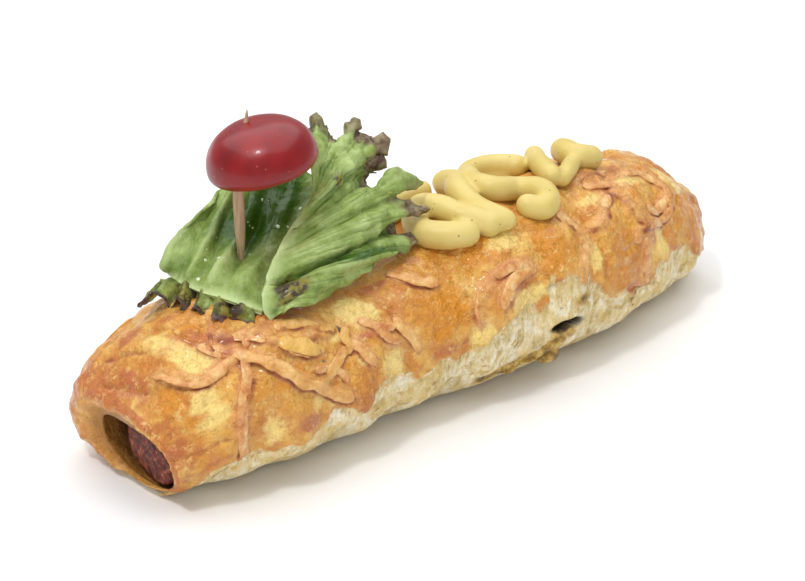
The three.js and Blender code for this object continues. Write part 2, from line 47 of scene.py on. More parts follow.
# Camera, seen from the open end and the front
PICTURE = (805, 581)
LOOK_AT = (0, 0, 20)
AZIMUTH, ELEVATION = -40.8, 27
DISTANCE = 620
FOCAL_PIXELS = 2139
TARGET_PIXEL = (419.8, 311.9)
SENSOR = 36

# Driving sizes of the roll, the same as in the solid part
NEAR_END, FAR_END = -102, 112
BELLY = 0.44
PRESSED = 0.8
GAP = 0.35
SWELL = np.array([
    (0.0, 24.5, 28, 5),
    (0.05, 27, 38.5, 3.8),
    (0.1, 28.4, 44.5, 2),
    (0.2, 28.7, 47, -2),
    (0.35, 27, 45.5, -1.7),
    (0.5, 29.6, 49.5, -3.3),
    (0.65, 30, 50.8, -4),
    (0.8, 27.5, 47.2, -1.6),
    (0.92, 23.5, 41, 2.5),
    (1.0, 14, 26, 5),
])
HALF, HIGH, SHIFT = 1, 2, 3
MOUTH = {"y": -1.3, "z": 12.3, "half": 15.3, "high": 9, "square": 0.8}
HOLLOW = {"y": -1.5, "z": 15.2, "half": 17.1, "high": 12.5, "square": 0.8}
HOLLOW_FULL, HOLLOW_NONE = 10, 22
FAR_MOUTH = {"y": 5, "z": 12.6, "half": 8.6, "high": 8.2, "square": 1}
MOUTH_SLANT, SLANT_REACH = 2, 9
SQUARED = {"side": 0.92, "top": 0.95, "low": 0.97}
LIP = {"out": 0.22, "turn": 1.15}
SAUSAGE = {"radius": 13, "end_radius": 11.8, "end_y": -4.5, "end_z": 15.2, "near": -96.5, "far": 107}
SAUSAGE_RISE = 0.46
SAUSAGE_FULL = -70
SAUSAGE_THIN = {"from": 76, "share": 0.42}
# The floor of the near end curls off the table
END_RAISED = {"high": 2.6, "from": 97, "to": 104}

# Relief that the solid part has too
VALLEYS = [(-7, 5, 2.2), (-47, 6, 0.8), (41, 6, 1.0), (78, 5, 0.9)]
VALLEY_SWAY = 3
RELIEF_FADE = (125, 160)
LEDGE_DEEP = 1.3
LUMPS_DRAWN = {"count": 9, "seed": 41, "slow": 0.08, "range": 0.27, "round": 5, "deep": 0.42, "fade": 0.15}
# Patterns are drawn on a plain bar this thick, so that they close round the roll
BAR_RADIUS = 28
# The skin's edge wanders by some degrees and is as wide as this
EDGE_WANDER, EDGE_WIDE = 5.5, 1.6

# Where the baked skin ends above the pale flaky side: x, degrees down from the top
SKIN_EDGE = [
    (-104, 165), (-98, 140), (-92, 108), (-84, 100), (-74, 104), (-66, 106), (-58, 98), (-50, 88), (-45, 98),
    (-37, 82), (-27, 91), (-14, 90), (-7, 94), (-2, 84), (4, 75), (12, 77), (20, 76), (25, 69),
    (32, 70), (37, 76), (45, 88), (53, 93), (60, 96), (66, 98), (70, 82), (78, 79), (88, 84),
    (98, 100), (114, 108),
]

# Baked cheese shreds: half width, share of yellow, and the route as x and degrees from the top to the front
SHREDS = [
    (1.5, 0.2, [(-95.5, 17), (-91.8, 35.6), (-87.2, 42.3), (-79.3, 41), (-75, 36)]),
    (1.7, 0.1, [(-75.4, 33), (-76.4, 44.4), (-78.7, 58.5), (-81.6, 69), (-83.8, 82), (-83.3, 96),
                (-81.6, 112)]),
    (1.9, 0.4, [(-77.5, 36), (-73.6, 44.4), (-69.1, 55), (-64.5, 65.5), (-60, 72.6), (-54.3, 81),
                (-48.6, 86)]),
    (1.5, 0.0, [(-75.9, 20), (-76.3, 29), (-75.3, 40)]),
    (1.2, 0.0, [(-81, 26), (-78.5, 31), (-76, 36)]),
    (1.3, 0.1, [(-71, 24), (-72.8, 31), (-74.8, 37)]),
    (1.3, 0.2, [(-76, 26), (-73, 30), (-69.1, 36), (-65, 46), (-60, 54)]),
    (2.3, 0.9, [(-67, 39), (-63, 45), (-58.5, 50), (-54.5, 53)]),
    (1.5, 0.5, [(-66, 32), (-57.7, 34.7), (-52, 39), (-48, 43)]),
    (1.2, 0.2, [(-60.5, 44), (-56, 43), (-52, 46)]),
    (1.7, 0.2, [(-45.8, 53), (-42.9, 62), (-40.1, 72.6)]),
    (1.6, 0.4, [(-47, 56), (-51, 61), (-55, 67), (-57, 71)]),
    (1.4, 0.2, [(-37.3, 52), (-33.8, 60.2), (-30, 66.5)]),
    (1.3, 0.6, [(-44, 44), (-46, 50), (-45.8, 56), (-48, 60)]),
    (1.2, 0.1, [(-40.5, 44), (-38, 49), (-33, 54), (-29.5, 55)]),
    (1.3, 0.1, [(-84, 22), (-82, 30), (-78, 35), (-74, 37)]),
    (1.2, 0.3, [(-79.5, 18), (-77, 24), (-72, 28), (-66, 29)]),
    (1.2, 0.1, [(-61, 62), (-56, 64), (-52.5, 68), (-50, 76)]),
    (1.8, 0.4, [(-29.6, 50), (-27, 62), (-24.8, 72), (-24.8, 76)]),
    (1.5, 0.3, [(-23.6, 21.5), (-20.2, 30.3), (-15.7, 37.4), (-11.1, 41.8)]),
    (1.6, 0.1, [(19, 51), (11.8, 49.5), (5, 50), (0.5, 56), (-2, 64), (-3.4, 77)]),
    (1.7, 0.2, [(19.5, 55), (13, 55.5), (8, 58), (5, 64), (3.5, 71)]),
    (1.7, 0.2, [(33.9, 29), (39, 40.9), (40.2, 49.7), (37.9, 58.5), (35.1, 67.3), (33.4, 77)]),
    (1.5, 0.2, [(58.3, 25), (56.5, 31), (53.8, 35.6), (48.1, 44.4), (43, 47.5)]),
    (1.4, 0.1, [(60, 27), (63.4, 33.9), (65.1, 47.9), (65.8, 56)]),
    (1.5, 0.2, [(84, 48), (82, 53.2), (77.6, 57), (69.7, 56), (64, 58), (59.5, 63.8)]),
    (1.8, 0.0, [(64.5, 60), (64.3, 77.8), (62.9, 92), (63.6, 99)]),
    (1.6, 0.2, [(66, 15), (77.6, 18.5), (83.5, 28.6), (85, 39.1), (82.2, 47), (75.4, 50), (69.7, 46.8)]),
    (1.4, 0.2, [(50.4, 13.5), (58.3, 7), (68.5, 10), (79, 4)]),
    (1.2, 0.2, [(52.7, 17), (61.7, 20.5), (68.5, 26.8)]),
]
BACK_SHREDS = {"count": 12, "seed": 12, "from": -88, "to": 96, "top": -38, "low": -84}
SHRED_LIFT = 0.3
SHRED_SEED = 50
SHRED_SIDES = 18
SHRED_FLAT = 0.34
BLUNT_TIP = 0.1

# Creases of the crust: depth, half width and route
CREASES = [
    (1.0, 0.9, [(-101.5, -11), (-100.8, -4), (-100, 3), (-99.5, 9), (-98.6, 17), (-97, 24)]),
    (0.9, 1.0, [(-98, -24), (-96, -15), (-94.5, -8), (-93, -1), (-91.5, 6)]),
    (0.7, 0.9, [(-99.3, -18), (-97, -9), (-96, -2)]),
    (0.8, 0.8, [(-88.5, -10), (-87, -2), (-84.5, 3), (-81, 5)]),
    (0.8, 0.7, [(-86.5, 5), (-85.8, 12), (-84.6, 19), (-82, 24)]),
    (0.8, 0.8, [(-95.2, 27), (-92.3, 39), (-87, 46.5), (-81, 46.5)]),
    (0.7, 0.9, [(-99, 78), (-94, 84), (-89, 82), (-85, 86)]),
    (0.6, 0.8, [(-30, 38), (-28.4, 45), (-28.6, 50)]),
    (0.8, 1.0, [(-2, 22), (-1, 33), (-2.5, 45), (-4, 58)]),
    (0.6, 0.8, [(20, 40), (22.5, 50), (22, 62)]),
    (0.6, 0.8, [(25, 14), (29, 20), (33, 27)]),
    (0.7, 0.9, [(44, 55), (44.5, 66), (43.5, 76)]),
    (0.7, 1.0, [(86, 10), (92, 22), (91, 40), (86, 54)]),
    (0.6, 0.9, [(94, -20), (99, 0), (98, 20)]),
    (0.5, 0.8, [(48, 62), (54, 66), (60, 64)]),
    (0.5, 0.8, [(47, 72), (54, 75), (60, 73)]),
    (1.5, 0.9, [(-2, 127), (8, 122), (16, 119), (24, 109), (31, 99)]),
    (0.9, 0.7, [(30, 94), (36, 88), (41, 83)]),
    (0.8, 0.6, [(46, 96), (52, 98), (58, 103)]),
    (0.8, 0.6, [(54, 91), (60, 94), (66, 101)]),
    (0.8, 0.7, [(-20, 112), (-12, 108), (-6, 109)]),
    (0.8, 0.7, [(-40, 108), (-33, 104), (-28, 106)]),
]


def seeded(seed):
    """A repeatable source of numbers from 0 to 1."""
    state = seed

    def draw():
        nonlocal state
        state = (1664525 * state + 1013904223) % 4294967296
        return state / 4294967296

    return draw


def smoothstep(value, low, high):
    share = np.clip((value - low) / (high - low), 0, 1)
    return share * share * (3 - 2 * share)


def lerp(a, b, share):
    return a + (b - a) * share


def signed_power(value, power):
    return np.sign(value) * np.abs(value) ** power


def bump_at(value, middle, wide):
    """A round bump of height 1 at a middle value."""
    return np.exp(-(((value - middle) / wide) ** 2))


def lattice_noise(places, size, seed):
    """Smooth random numbers from -1 to 1 whose bumps have a size; places is an array of points."""
    cell = np.asarray(places, float) / size + 37.7 * seed
    base = np.floor(cell).astype(np.int64)
    part = cell - base
    part = part * part * (3 - 2 * part)
    total = 0
    for corner in itertools.product((0, 1), repeat=3):
        key = base + np.array(corner)
        mixed = key[..., 0] * 73856093 ^ key[..., 1] * 19349663 ^ key[..., 2] * 83492791
        mixed = (mixed ^ (mixed >> 15)) * 1274126177 & 0x7FFFFFFF
        value = (mixed >> 7 & 0xFFFF) / 32767.5 - 1
        weight = np.prod(np.where(np.array(corner) == 1, part, 1 - part), axis=-1)
        total = total + weight * value
    return total


def fractal(places, size, seed, octaves=3):
    """Noise with finer noise on top of it."""
    steps = [0.5**k * lattice_noise(places, size * 0.5**k, seed + k) for k in range(octaves)]
    return sum(steps)


def evenly(points, count):
    """Evenly spread points on the straight lines between the given ones."""
    points = np.array(points, float)
    reach = np.concatenate([[0], np.cumsum(np.linalg.norm(np.diff(points, axis=0), axis=1))])
    wanted = np.linspace(0, reach[-1], count)
    return np.stack([np.interp(wanted, reach, column) for column in points.T], -1)


def smooth_path(points, count):
    """Evenly spread points on a smooth curve through the given ones."""
    points = np.asarray(points, float)
    padded = np.vstack([2 * points[0] - points[1], points, 2 * points[-1] - points[-2]])
    dense = []
    for i in range(len(points) - 1):
        a, b, c, d = padded[i : i + 4]
        t = np.linspace(0, 1, 24, endpoint=False)[:, None]
        dense.append(0.5 * (2 * b + (c - a) * t + (2 * a - 5 * b + 4 * c - d) * t**2
                            + (3 * b - a - 3 * c + d) * t**3))
    return evenly(np.vstack(dense + [points[-1:]]), count)


def turns(count):
    """Angles all round, in radians."""
    return np.linspace(0, 2 * math.pi, count, endpoint=False)


def path_length(points):
    return float(np.linalg.norm(np.diff(points, axis=0), axis=1).sum())


def round_ends(middle, taper):
    """Share of the full width along a bar whose ends round off over a length."""
    length = path_length(middle)
    reach = np.linspace(0, length, len(middle))
    tip = np.clip(np.minimum(reach, length - reach) / taper, 0, 1)
    return np.maximum(np.sqrt(1 - (1 - tip) ** 2), BLUNT_TIP)


# Form of the crust
def swell(share, column):
    """Smooth value of one column of SWELL at a share of the roll's length."""
    share = np.clip(share, 0, 1)
    at, value = SWELL[:, 0], SWELL[:, column]
    i = np.clip(np.searchsorted(at, share, side="right") - 1, 0, len(at) - 2)
    slope = np.empty(len(at))
    slope[1:-1] = (value[2:] - value[:-2]) / (at[2:] - at[:-2])
    slope[0] = (value[1] - value[0]) / (at[1] - at[0])
    slope[-1] = (value[-1] - value[-2]) / (at[-1] - at[-2])
    step = at[i + 1] - at[i]
    u = (share - at[i]) / step
    rise = u * u * (3 - 2 * u)
    leave = u * (1 - u) ** 2 * step * slope[i]
    arrive = u * u * (u - 1) * step * slope[i + 1]
    return lerp(value[i], value[i + 1], rise) + leave + arrive


def make_lumps():
    """Broad lumps of the crust: waves that close round the roll."""
    drawn = LUMPS_DRAWN
    draw = seeded(drawn["seed"])
    lumps = []
    for i in range(drawn["count"]):
        along = drawn["slow"] + drawn["range"] * draw()
        along = -along if draw() < 0.5 else along
        round_count = 1 + math.floor(drawn["round"] * draw())
        lumps.append((along, round_count, 2 * math.pi * draw(), drawn["deep"] / (1 + drawn["fade"] * i)))
    return lumps


LUMPS = make_lumps()


def down_degrees(angle):
    """How far a place lies from the top of the roll, on either side."""
    return np.degrees(np.abs(np.arctan2(np.sin(angle), np.cos(angle))))


def on_roll(x, angle):
    x, angle = np.broadcast_arrays(x, angle)
    return np.stack([x, -BAR_RADIUS * np.sin(angle), BAR_RADIUS * np.cos(angle)], -1)


def skin_share(x, angle):
    """1 on the glazed skin, 0 on the pale side below its ragged edge."""
    stations, edges = zip(*SKIN_EDGE)
    places = on_roll(x, angle)
    ragged = EDGE_WANDER * fractal(places * (1, 0.45, 0.45), 4.2, 11, 4)
    edge = np.interp(x, stations, edges) + ragged
    return 1 - smoothstep(down_degrees(angle), edge - EDGE_WIDE, edge + EDGE_WIDE)


def relief(x, angle):
    """Height over the smooth roll: lumps, valleys and the ledge at the edge of the skin."""
    above = 1 - smoothstep(down_degrees(angle), *RELIEF_FADE)
    height = -LEDGE_DEEP * (1 - skin_share(x, angle)) * smoothstep(x, NEAR_END + 4, NEAR_END + 16)
    for along, round_count, phase, deep in LUMPS:
        height = height + deep * np.sin(along * x + round_count * angle + phase)
    for at, wide, deep in VALLEYS:
        height = height - deep * bump_at(x, at + VALLEY_SWAY * np.cos(angle), wide)
    return height * above


def mouth_slant(x, angle):
    back = 1 - np.cos(angle) + 0.5 * np.maximum(np.sin(angle), 0)
    return MOUTH_SLANT * back * np.exp(-(x - NEAR_END) / SLANT_REACH)


def crust_point(x, angle, grow=0.0):
    """A point of the crust; angle runs from the top towards the front."""
    x, angle = np.broadcast_arrays(np.asarray(x, float), angle)
    share = (x - NEAR_END) / (FAR_END - NEAR_END)
    out = grow + relief(x, angle)
    half = swell(share, HALF) + out
    high = swell(share, HIGH)
    middle = high * BELLY
    up = np.cos(angle)
    y = swell(share, SHIFT) - half * signed_power(np.sin(angle), SQUARED["side"])
    over = middle + (high - middle + out) * np.maximum(up, 0) ** SQUARED["top"]
    under = middle - (middle + PRESSED + out) * np.maximum(-up, 0) ** SQUARED["low"]
    z = np.maximum(np.where(up >= 0, over, under), 0)
    raised = END_RAISED["high"] * smoothstep(-x, END_RAISED["from"], END_RAISED["to"])
    z = z + raised * np.maximum(1 - z / middle, 0)
    return np.stack([x + mouth_slant(x, angle), y, z], -1)


def oval_point(oval, x, angle):
    x, angle = np.broadcast_arrays(np.asarray(x, float), angle)
    y = oval["y"] - oval["half"] * signed_power(np.sin(angle), oval["square"])
    z = oval["z"] + oval["high"] * signed_power(np.cos(angle), oval["square"])
    return np.stack([x, y, z], -1)


def sausage_ring(x):
    """Radius and middle of the sausage at x."""
    share = (np.asarray(x, float) - NEAR_END) / (FAR_END - NEAR_END)
    inside = smoothstep(x, SAUSAGE["near"], SAUSAGE_FULL)
    thin = 1 - SAUSAGE_THIN["share"] * smoothstep(x, SAUSAGE_THIN["from"], FAR_END)
    radius = lerp(SAUSAGE["end_radius"], SAUSAGE["radius"], inside) * thin
    y = lerp(SAUSAGE["end_y"], swell(share, SHIFT), inside)
    z = lerp(SAUSAGE["end_z"], SAUSAGE_RISE * swell(share, HIGH), inside)
    return radius, y, z


def sausage_point(x, angle, grow=0.0):
    x, angle = np.broadcast_arrays(np.asarray(x, float), angle)
    radius, y, z = sausage_ring(x)
    radius = radius + grow
    return np.stack([x, y - radius * np.sin(angle), z + radius * np.cos(angle)], -1)


def hollow_point(x, angle):
    """The wall behind the near mouth, which closes onto the sausage."""
    x, angle = np.broadcast_arrays(np.asarray(x, float), angle)
    closing = smoothstep(x - NEAR_END, HOLLOW_FULL, HOLLOW_NONE)[..., None]
    snug = sausage_point(x, angle, GAP)
    wall = lerp(oval_point(HOLLOW, x, angle), snug, closing)
    radius, y, z = sausage_ring(x)
    middle = np.stack([x, y, z], -1)
    away = wall - middle
    distance = np.linalg.norm(away, axis=-1, keepdims=True)
    least = (radius + GAP)[..., None]
    return middle + away * np.maximum(least / np.maximum(distance, 1e-6), 1)


def lip_point(end, outwards, oval, angle, share):
    """The round lip between the outside of the crust and a mouth; share 1 is inside."""
    outer = crust_point(end, angle)
    inner = oval_point(oval, end, angle)
    inner[..., 0] = outer[..., 0]
    thick = np.linalg.norm(outer - inner, axis=-1)
    point = lerp(outer, inner, share)
    point[..., 0] += outwards * LIP["out"] * thick * np.sin(math.pi * min(share * LIP["turn"], 1))
    return point


# Meshes
def grid_faces(rows, columns, wrap_rows=False, wrap_columns=False):
    row = np.arange(rows if wrap_rows else rows - 1)
    column = np.arange(columns if wrap_columns else columns - 1)
    r, c = np.meshgrid(row, column, indexing="ij")
    next_r, next_c = (r + 1) % rows, (c + 1) % columns
    corners = [r * columns + c, r * columns + next_c, next_r * columns + next_c, next_r * columns + c]
    return np.stack(corners, -1).reshape(-1, 4)


def grid_normals(points, wrap_rows, wrap_columns):
    """Normals of a grid of points, which may close on itself either way."""
    def slope(axis, wrap):
        if wrap:
            return np.roll(points, -1, axis) - np.roll(points, 1, axis)
        return np.gradient(points, axis=axis)

    normals = np.cross(slope(0, wrap_rows), slope(1, wrap_columns))
    return normals / np.maximum(np.linalg.norm(normals, axis=-1, keepdims=True), 1e-9)


def enclosed(points, faces):
    """Signed volume of a closed mesh."""
    total = 0
    for i in range(1, len(faces[0]) - 1):
        a, b, c = points[faces[:, 0]], points[faces[:, i]], points[faces[:, i + 1]]
        total += np.einsum("ij,ij->", a, np.cross(b, c)) / 6
    return total


def mesh_piece(name, points, faces, material, attributes=None):
    """A smooth mesh piece from points in millimetres; attributes are numbers for each point."""
    points = np.asarray(points, float).reshape(-1, 3)
    mesh = bpy.data.meshes.new(name)
    mesh.from_pydata((points * MM).tolist(), [], [list(map(int, face)) for face in faces])
    mesh.polygons.foreach_set("use_smooth", [True] * len(mesh.polygons))
    for key, values in (attributes or {}).items():
        layer = mesh.attributes.new(key, "FLOAT", "POINT")
        layer.data.foreach_set("value", np.asarray(values, np.float32).ravel())
    mesh.materials.append(material)
    mesh.validate()
    piece = bpy.data.objects.new(name, mesh)
    bpy.context.scene.collection.objects.link(piece)
    return piece


def capped_points(rings):
    """The points of all rings, and after them the middle of the first and of the last."""
    return np.vstack([rings.reshape(-1, 3), [rings[0].mean(axis=0), rings[-1].mean(axis=0)]])


def capped_faces(count, around):
    """Faces of rings that are closed at both ends by a middle point."""
    faces = [tuple(face) for face in grid_faces(count, around, wrap_columns=True)]
    first, last = count * around, count * around + 1
    for j in range(around):
        k = (j + 1) % around
        faces.append((first, k, j))
        faces.append((last, (count - 1) * around + j, (count - 1) * around + k))
    return faces


def closed_grid(name, rings, material, attributes=None):
    """A body from rings of points, closed at both ends."""
    rings = np.asarray(rings)
    points = capped_points(rings)
    faces = capped_faces(*rings.shape[:2])
    triangles = np.array([face[:3] for face in faces] + [(f[0], f[2], f[3]) for f in faces if len(f) == 4])
    if enclosed(points, triangles) < 0:
        faces = [face[::-1] for face in faces]
    padded = {}
    for key, values in (attributes or {}).items():
        values = np.asarray(values, float)
        padded[key] = np.concatenate([values.ravel(), [values[0].mean(), values[-1].mean()]])
    return mesh_piece(name, points, faces, material, padded)


def settle(piece, slot, *nodes):
    """A finished piece rides on the roll and stands for its solids, which are hidden; slot is not used."""
    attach(piece, BODY)
    if nodes:
        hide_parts(*nodes)


# Shader maths
def srgb(red, green, blue):
    """A colour as seen in the photograph, from 0 to 255, as the linear colour of a node."""
    linear = []
    for part in (red, green, blue):
        share = part / 255
        linear.append(share / 12.92 if share <= 0.04045 else ((share + 0.055) / 1.055) ** 2.4)
    return (*linear, 1)


class Value:
    """A number that varies over a surface, so that plain arithmetic adds Math nodes."""

    def __init__(self, paint, socket):
        self.paint = paint
        self.socket = socket

    def math(self, operation, *others):
        sockets = dict(enumerate([self, *others]))
        return self.paint.node("ShaderNodeMath", {"operation": operation}, sockets)

    def __add__(self, other):
        return self.math("ADD", other)

    def __radd__(self, other):
        return self.math("ADD", other)

    def __sub__(self, other):
        return self.math("SUBTRACT", other)

    def __rsub__(self, other):
        return self.paint.node("ShaderNodeMath", {"operation": "SUBTRACT"}, {0: other, 1: self})

    def __mul__(self, other):
        return self.math("MULTIPLY", other)

    def __rmul__(self, other):
        return self.math("MULTIPLY", other)

    def between(self, low, high):
        """Rises smoothly from 0 to 1 between two values."""
        settings = {"interpolation_type": "SMOOTHSTEP"}
        sockets = {"Value": self, "From Min": low, "From Max": high}
        return self.paint.node("ShaderNodeMapRange", settings, sockets)

    def highest(self, other):
        return self.math("MAXIMUM", other)


class Paint:
    """One material, whose nodes are made by the method node."""

    def __init__(self, name):
        self.material = bpy.data.materials.new(name)
        self.material.use_nodes = True
        self.tree = self.material.node_tree
        self.tree.nodes.clear()

    def node(self, kind, settings=None, sockets=None, output=0):
        """Adds a node, fills its sockets with values or links, and gives one of its outputs."""
        made = self.tree.nodes.new(kind)
        for key, value in (settings or {}).items():
            if key == "ramp":
                self.fill_ramp(made.color_ramp, value)
            else:
                setattr(made, key, value)
        for key, value in (sockets or {}).items():
            if isinstance(value, Value):
                self.tree.links.new(value.socket, made.inputs[key])
            else:
                made.inputs[key].default_value = value
        return Value(self, made.outputs[output]) if made.outputs else None

    @staticmethod
    def fill_ramp(ramp, stops):
        while len(ramp.elements) > 1:
            ramp.elements.remove(ramp.elements[-1])
        for i, (at, colour) in enumerate(stops):
            element = ramp.elements[0] if i == 0 else ramp.elements.new(at)
            element.position = at
            element.color = colour

    def place(self, stretch=(1, 1, 1), turn=(0, 0, 0)):
        """Object coordinates in millimetres, stretched by a factor for each axis."""
        where = self.node("ShaderNodeTexCoord", output="Object")
        scale = [factor / MM for factor in stretch]
        sockets = {"Vector": where, "Scale": scale, "Rotation": turn}
        return self.node("ShaderNodeMapping", {"vector_type": "POINT"}, sockets)

    def mark(self, name):
        """A number kept for each point of the mesh."""
        return self.node("ShaderNodeAttribute", {"attribute_name": name}, output="Fac")

    def noise(self, where, size, detail=3, rough=0.55):
        """Noise from 0 to 1 whose bumps have a size in millimetres."""
        sockets = {"Vector": where, "Scale": 1 / size, "Detail": detail, "Roughness": rough}
        return self.node("ShaderNodeTexNoise", None, sockets)

    def cells(self, where, size, feature="F1"):
        sockets = {"Vector": where, "Scale": 1 / size}
        return self.node("ShaderNodeTexVoronoi", {"feature": feature}, sockets, "Distance")

    def ramp(self, share, stops):
        return self.node("ShaderNodeValToRGB", {"ramp": stops}, {"Fac": share})

    def blend(self, share, first, second):
        """One colour into another; each is a colour or a link."""
        settings = {"data_type": "RGBA", "blend_type": "MIX"}
        return self.node("ShaderNodeMix", settings, {0: share, 6: first, 7: second}, 2)

    def bump(self, height, distance, strength=1.0, normal=None):
        sockets = {"Height": height, "Distance": distance * MM, "Strength": strength}
        if normal is not None:
            sockets["Normal"] = normal
        return self.node("ShaderNodeBump", None, sockets)

    def finish(self, sockets):
        """Ends in one glossy shader whose sockets are given by name."""
        shader = self.node("ShaderNodeBsdfPrincipled", None, sockets)
        self.node("ShaderNodeOutputMaterial", None, {"Surface": shader})
        return self.material


def soft(weight, reach, colours):
    """Light inside a surface: how much, how far in metres, and how far for each colour."""
    return {"Subsurface Weight": weight, "Subsurface Scale": reach, "Subsurface Radius": colours}


# Finishes
def glazed_skin(paint, where, mottle, grain, veins):
    """The baked skin: gold, with amber, pale and cheesy places, rusty places that are painted shade at the
    near end, and scorched edges darkened with painted shade below shreds and in creases.
    """
    colour = paint.ramp(paint.noise(where, 9, 5, 0.62), [
        (0.32, srgb(196, 116, 36)),
        (0.45, srgb(214, 144, 54)),
        (0.56, srgb(226, 168, 74)),
        (0.7, srgb(236, 194, 106)),
    ])
    amber = (paint.mark("amber") * 0.7 + mottle).between(0.55, 1.05)
    colour = paint.blend(amber, colour, srgb(218, 142, 30))
    pale = (paint.mark("pale") * 0.85 + mottle).between(0.62, 1.05)
    colour = paint.blend(pale, colour, srgb(244, 212, 124))
    # Rusty brown places, which at the near end and on the outer lip are painted shade
    rust_and_shade = (paint.mark("rust_and_shade") * 0.55 + mottle * 0.8 + grain * 0.2).between(0.62, 1.15)
    colour = paint.blend(rust_and_shade, colour, srgb(190, 106, 48))
    colour = paint.blend(grain.between(0.53, 0.66) * 0.36, colour, srgb(192, 114, 48))
    cheese = (paint.mark("cheese") * (mottle + 0.4)).between(0.1, 0.9)
    colour = paint.blend(cheese * 0.6, colour, srgb(222, 160, 98))
    flecks = paint.noise(where, 2.1, 5, 0.74)
    colour = paint.blend(flecks.between(0.54, 0.64) * 0.6, colour, srgb(238, 200, 122))
    colour = paint.blend(veins * 0.2, colour, srgb(196, 120, 52))
    # Scorched brown at shred edges and in creases, with painted shade there too
    scorch_and_shade = paint.mark("scorch_and_shade") * (paint.noise(where, 2.2, 3) + 0.4)
    return paint.blend(scorch_and_shade.between(0.05, 0.85), colour, srgb(148, 68, 28))


def flaky_side(paint, where):
    """The pale layers below the skin, with yellow places and herbs."""
    grain = paint.noise(paint.place((1.0, 0.4, 0.4)), 2.2, 5, 0.72)
    colour = paint.ramp(grain, [
        (0.34, srgb(188, 162, 108)),
        (0.46, srgb(232, 211, 158)),
        (0.6, srgb(252, 243, 216)),
    ])
    yellow = paint.noise(where, 8, 4, 0.65).between(0.46, 0.6)
    colour = paint.blend(yellow * 0.6, colour, srgb(226, 194, 112))
    herbs = paint.noise(where, 1.7, 3, 0.7).between(0.64, 0.7) * paint.noise(where, 9, 2).between(0.5, 0.6)
    return paint.blend(herbs * 0.7, colour, srgb(104, 98, 50))


def opened_crust(paint, where, mottle, inside, colour):
    """The set juices, the wall inside the mouth, which darkens deeper in as painted shade, burnt specks and
    the tear, painted dark as shade and juice.
    """
    juice = (paint.mark("juice") * (mottle + 0.5)).between(0.15, 0.8)
    juices = paint.ramp(paint.noise(where, 3, 4, 0.65), [
        (0.36, srgb(104, 80, 28)),
        (0.5, srgb(186, 144, 58)),
        (0.62, srgb(222, 190, 100)),
    ])
    colour = paint.blend(juice, colour, juices)
    # Painted shade: the wall inside the mouth and the inner lip darken deeper in
    hollow = paint.ramp(inside, [
        (0.0, srgb(206, 142, 66)),
        (0.35, srgb(194, 134, 54)),
        (0.6, srgb(156, 104, 38)),
        (1.0, srgb(64, 30, 12)),
    ])
    colour = paint.blend((inside * (mottle + 0.5)).between(0.05, 0.45), colour, hollow)
    colour = paint.blend(paint.mark("burnt"), colour, srgb(40, 24, 14))
    # Painted shade inside the tear, with dark juice
    return paint.blend(paint.mark("tear_shade_and_juice"), colour, srgb(30, 16, 8))


def crust_finish():
    paint = Paint("Baked glazed crust")
    where = paint.place()
    skin, inside = paint.mark("skin"), paint.mark("inside")
    mottle = paint.noise(where, 3.2, 5, 0.72)
    grain = paint.noise(where, 1.3, 4, 0.7)
    veins = 1 - (paint.noise(where, 4.5, 4, 0.6) - 0.5).math("ABSOLUTE").between(0.0, 0.022)
    colour = glazed_skin(paint, where, mottle, grain, veins)
    colour = paint.blend(1 - skin, colour, flaky_side(paint, where))
    colour = opened_crust(paint, where, mottle, inside, colour)
    fine = paint.noise(where, 0.9, 4, 0.65)
    normal = paint.bump(fine, 0.3, 0.9)
    normal = paint.bump(paint.noise(where, 3.2, 4, 0.6), 2.2, 0.9, normal)
    normal = paint.bump(veins, 0.15, 0.7, normal)
    glazed = paint.noise(where, 8, 3, 0.6).between(0.46, 0.62) * 0.45 + 0.14
    return paint.finish({
        "Base Color": colour,
        "Roughness": 0.68 - 0.36 * skin + 0.14 * fine,
        "Coat Weight": (skin * (1 - inside) * glazed).highest(paint.mark("juice") * 0.6),
        "Coat Roughness": 0.1,
        **soft(0.06, 0.002, (1.0, 0.5, 0.2)),
        "Normal": normal,
    })


def cheese_finish():
    paint = Paint("Baked cheese shreds")
    where = paint.place()
    tone = paint.noise(where, 4, 5, 0.7)
    colour = paint.ramp(tone, [
        (0.34, srgb(188, 104, 52)),
        (0.45, srgb(212, 142, 82)),
        (0.56, srgb(228, 172, 110)),
        (0.68, srgb(240, 206, 148)),
    ])
    colour = paint.blend(paint.mark("yellow") * 0.8, colour, srgb(228, 184, 80))
    # Brown base edge of each shred, partly painted shade on its lower side
    edge = (paint.mark("edge") * (paint.noise(where, 3, 3) + 0.35)).between(0.1, 0.95)
    colour = paint.blend(edge, colour, srgb(164, 82, 32))
    fine = paint.noise(where, 0.8, 4, 0.6)
    normal = paint.bump(fine, 0.35, 0.8)
    normal = paint.bump(paint.noise(where, 2.2, 4), 1.1, 0.7, normal)
    return paint.finish({
        "Base Color": colour,
        "Roughness": 0.34 + 0.16 * fine,
        "Coat Weight": 0.4,
        "Coat Roughness": 0.12,
        **soft(0.06, 0.002, (1.0, 0.5, 0.25)),
        "Normal": normal,
    })


def sausage_finish():
    paint = Paint("Minced sausage")
    where = paint.place()
    lumps = paint.noise(where, 1.9, 4, 0.66)
    colour = paint.ramp(lumps, [
        (0.34, srgb(48, 8, 2)),
        (0.47, srgb(92, 28, 12)),
        (0.58, srgb(132, 56, 34)),
        (0.7, srgb(178, 108, 80)),
    ])
    return paint.finish({
        "Base Color": colour,
        "Roughness": 0.34 + 0.25 * lumps,
        "Specular IOR Level": 0.25,
        "Subsurface Weight": 0.1,
        "Subsurface Scale": 0.002,
        "Coat Weight": 0.12,
        "Coat Roughness": 0.15,
        "Normal": paint.bump(paint.noise(where, 1.1, 4), 0.8, 0.9),
    })


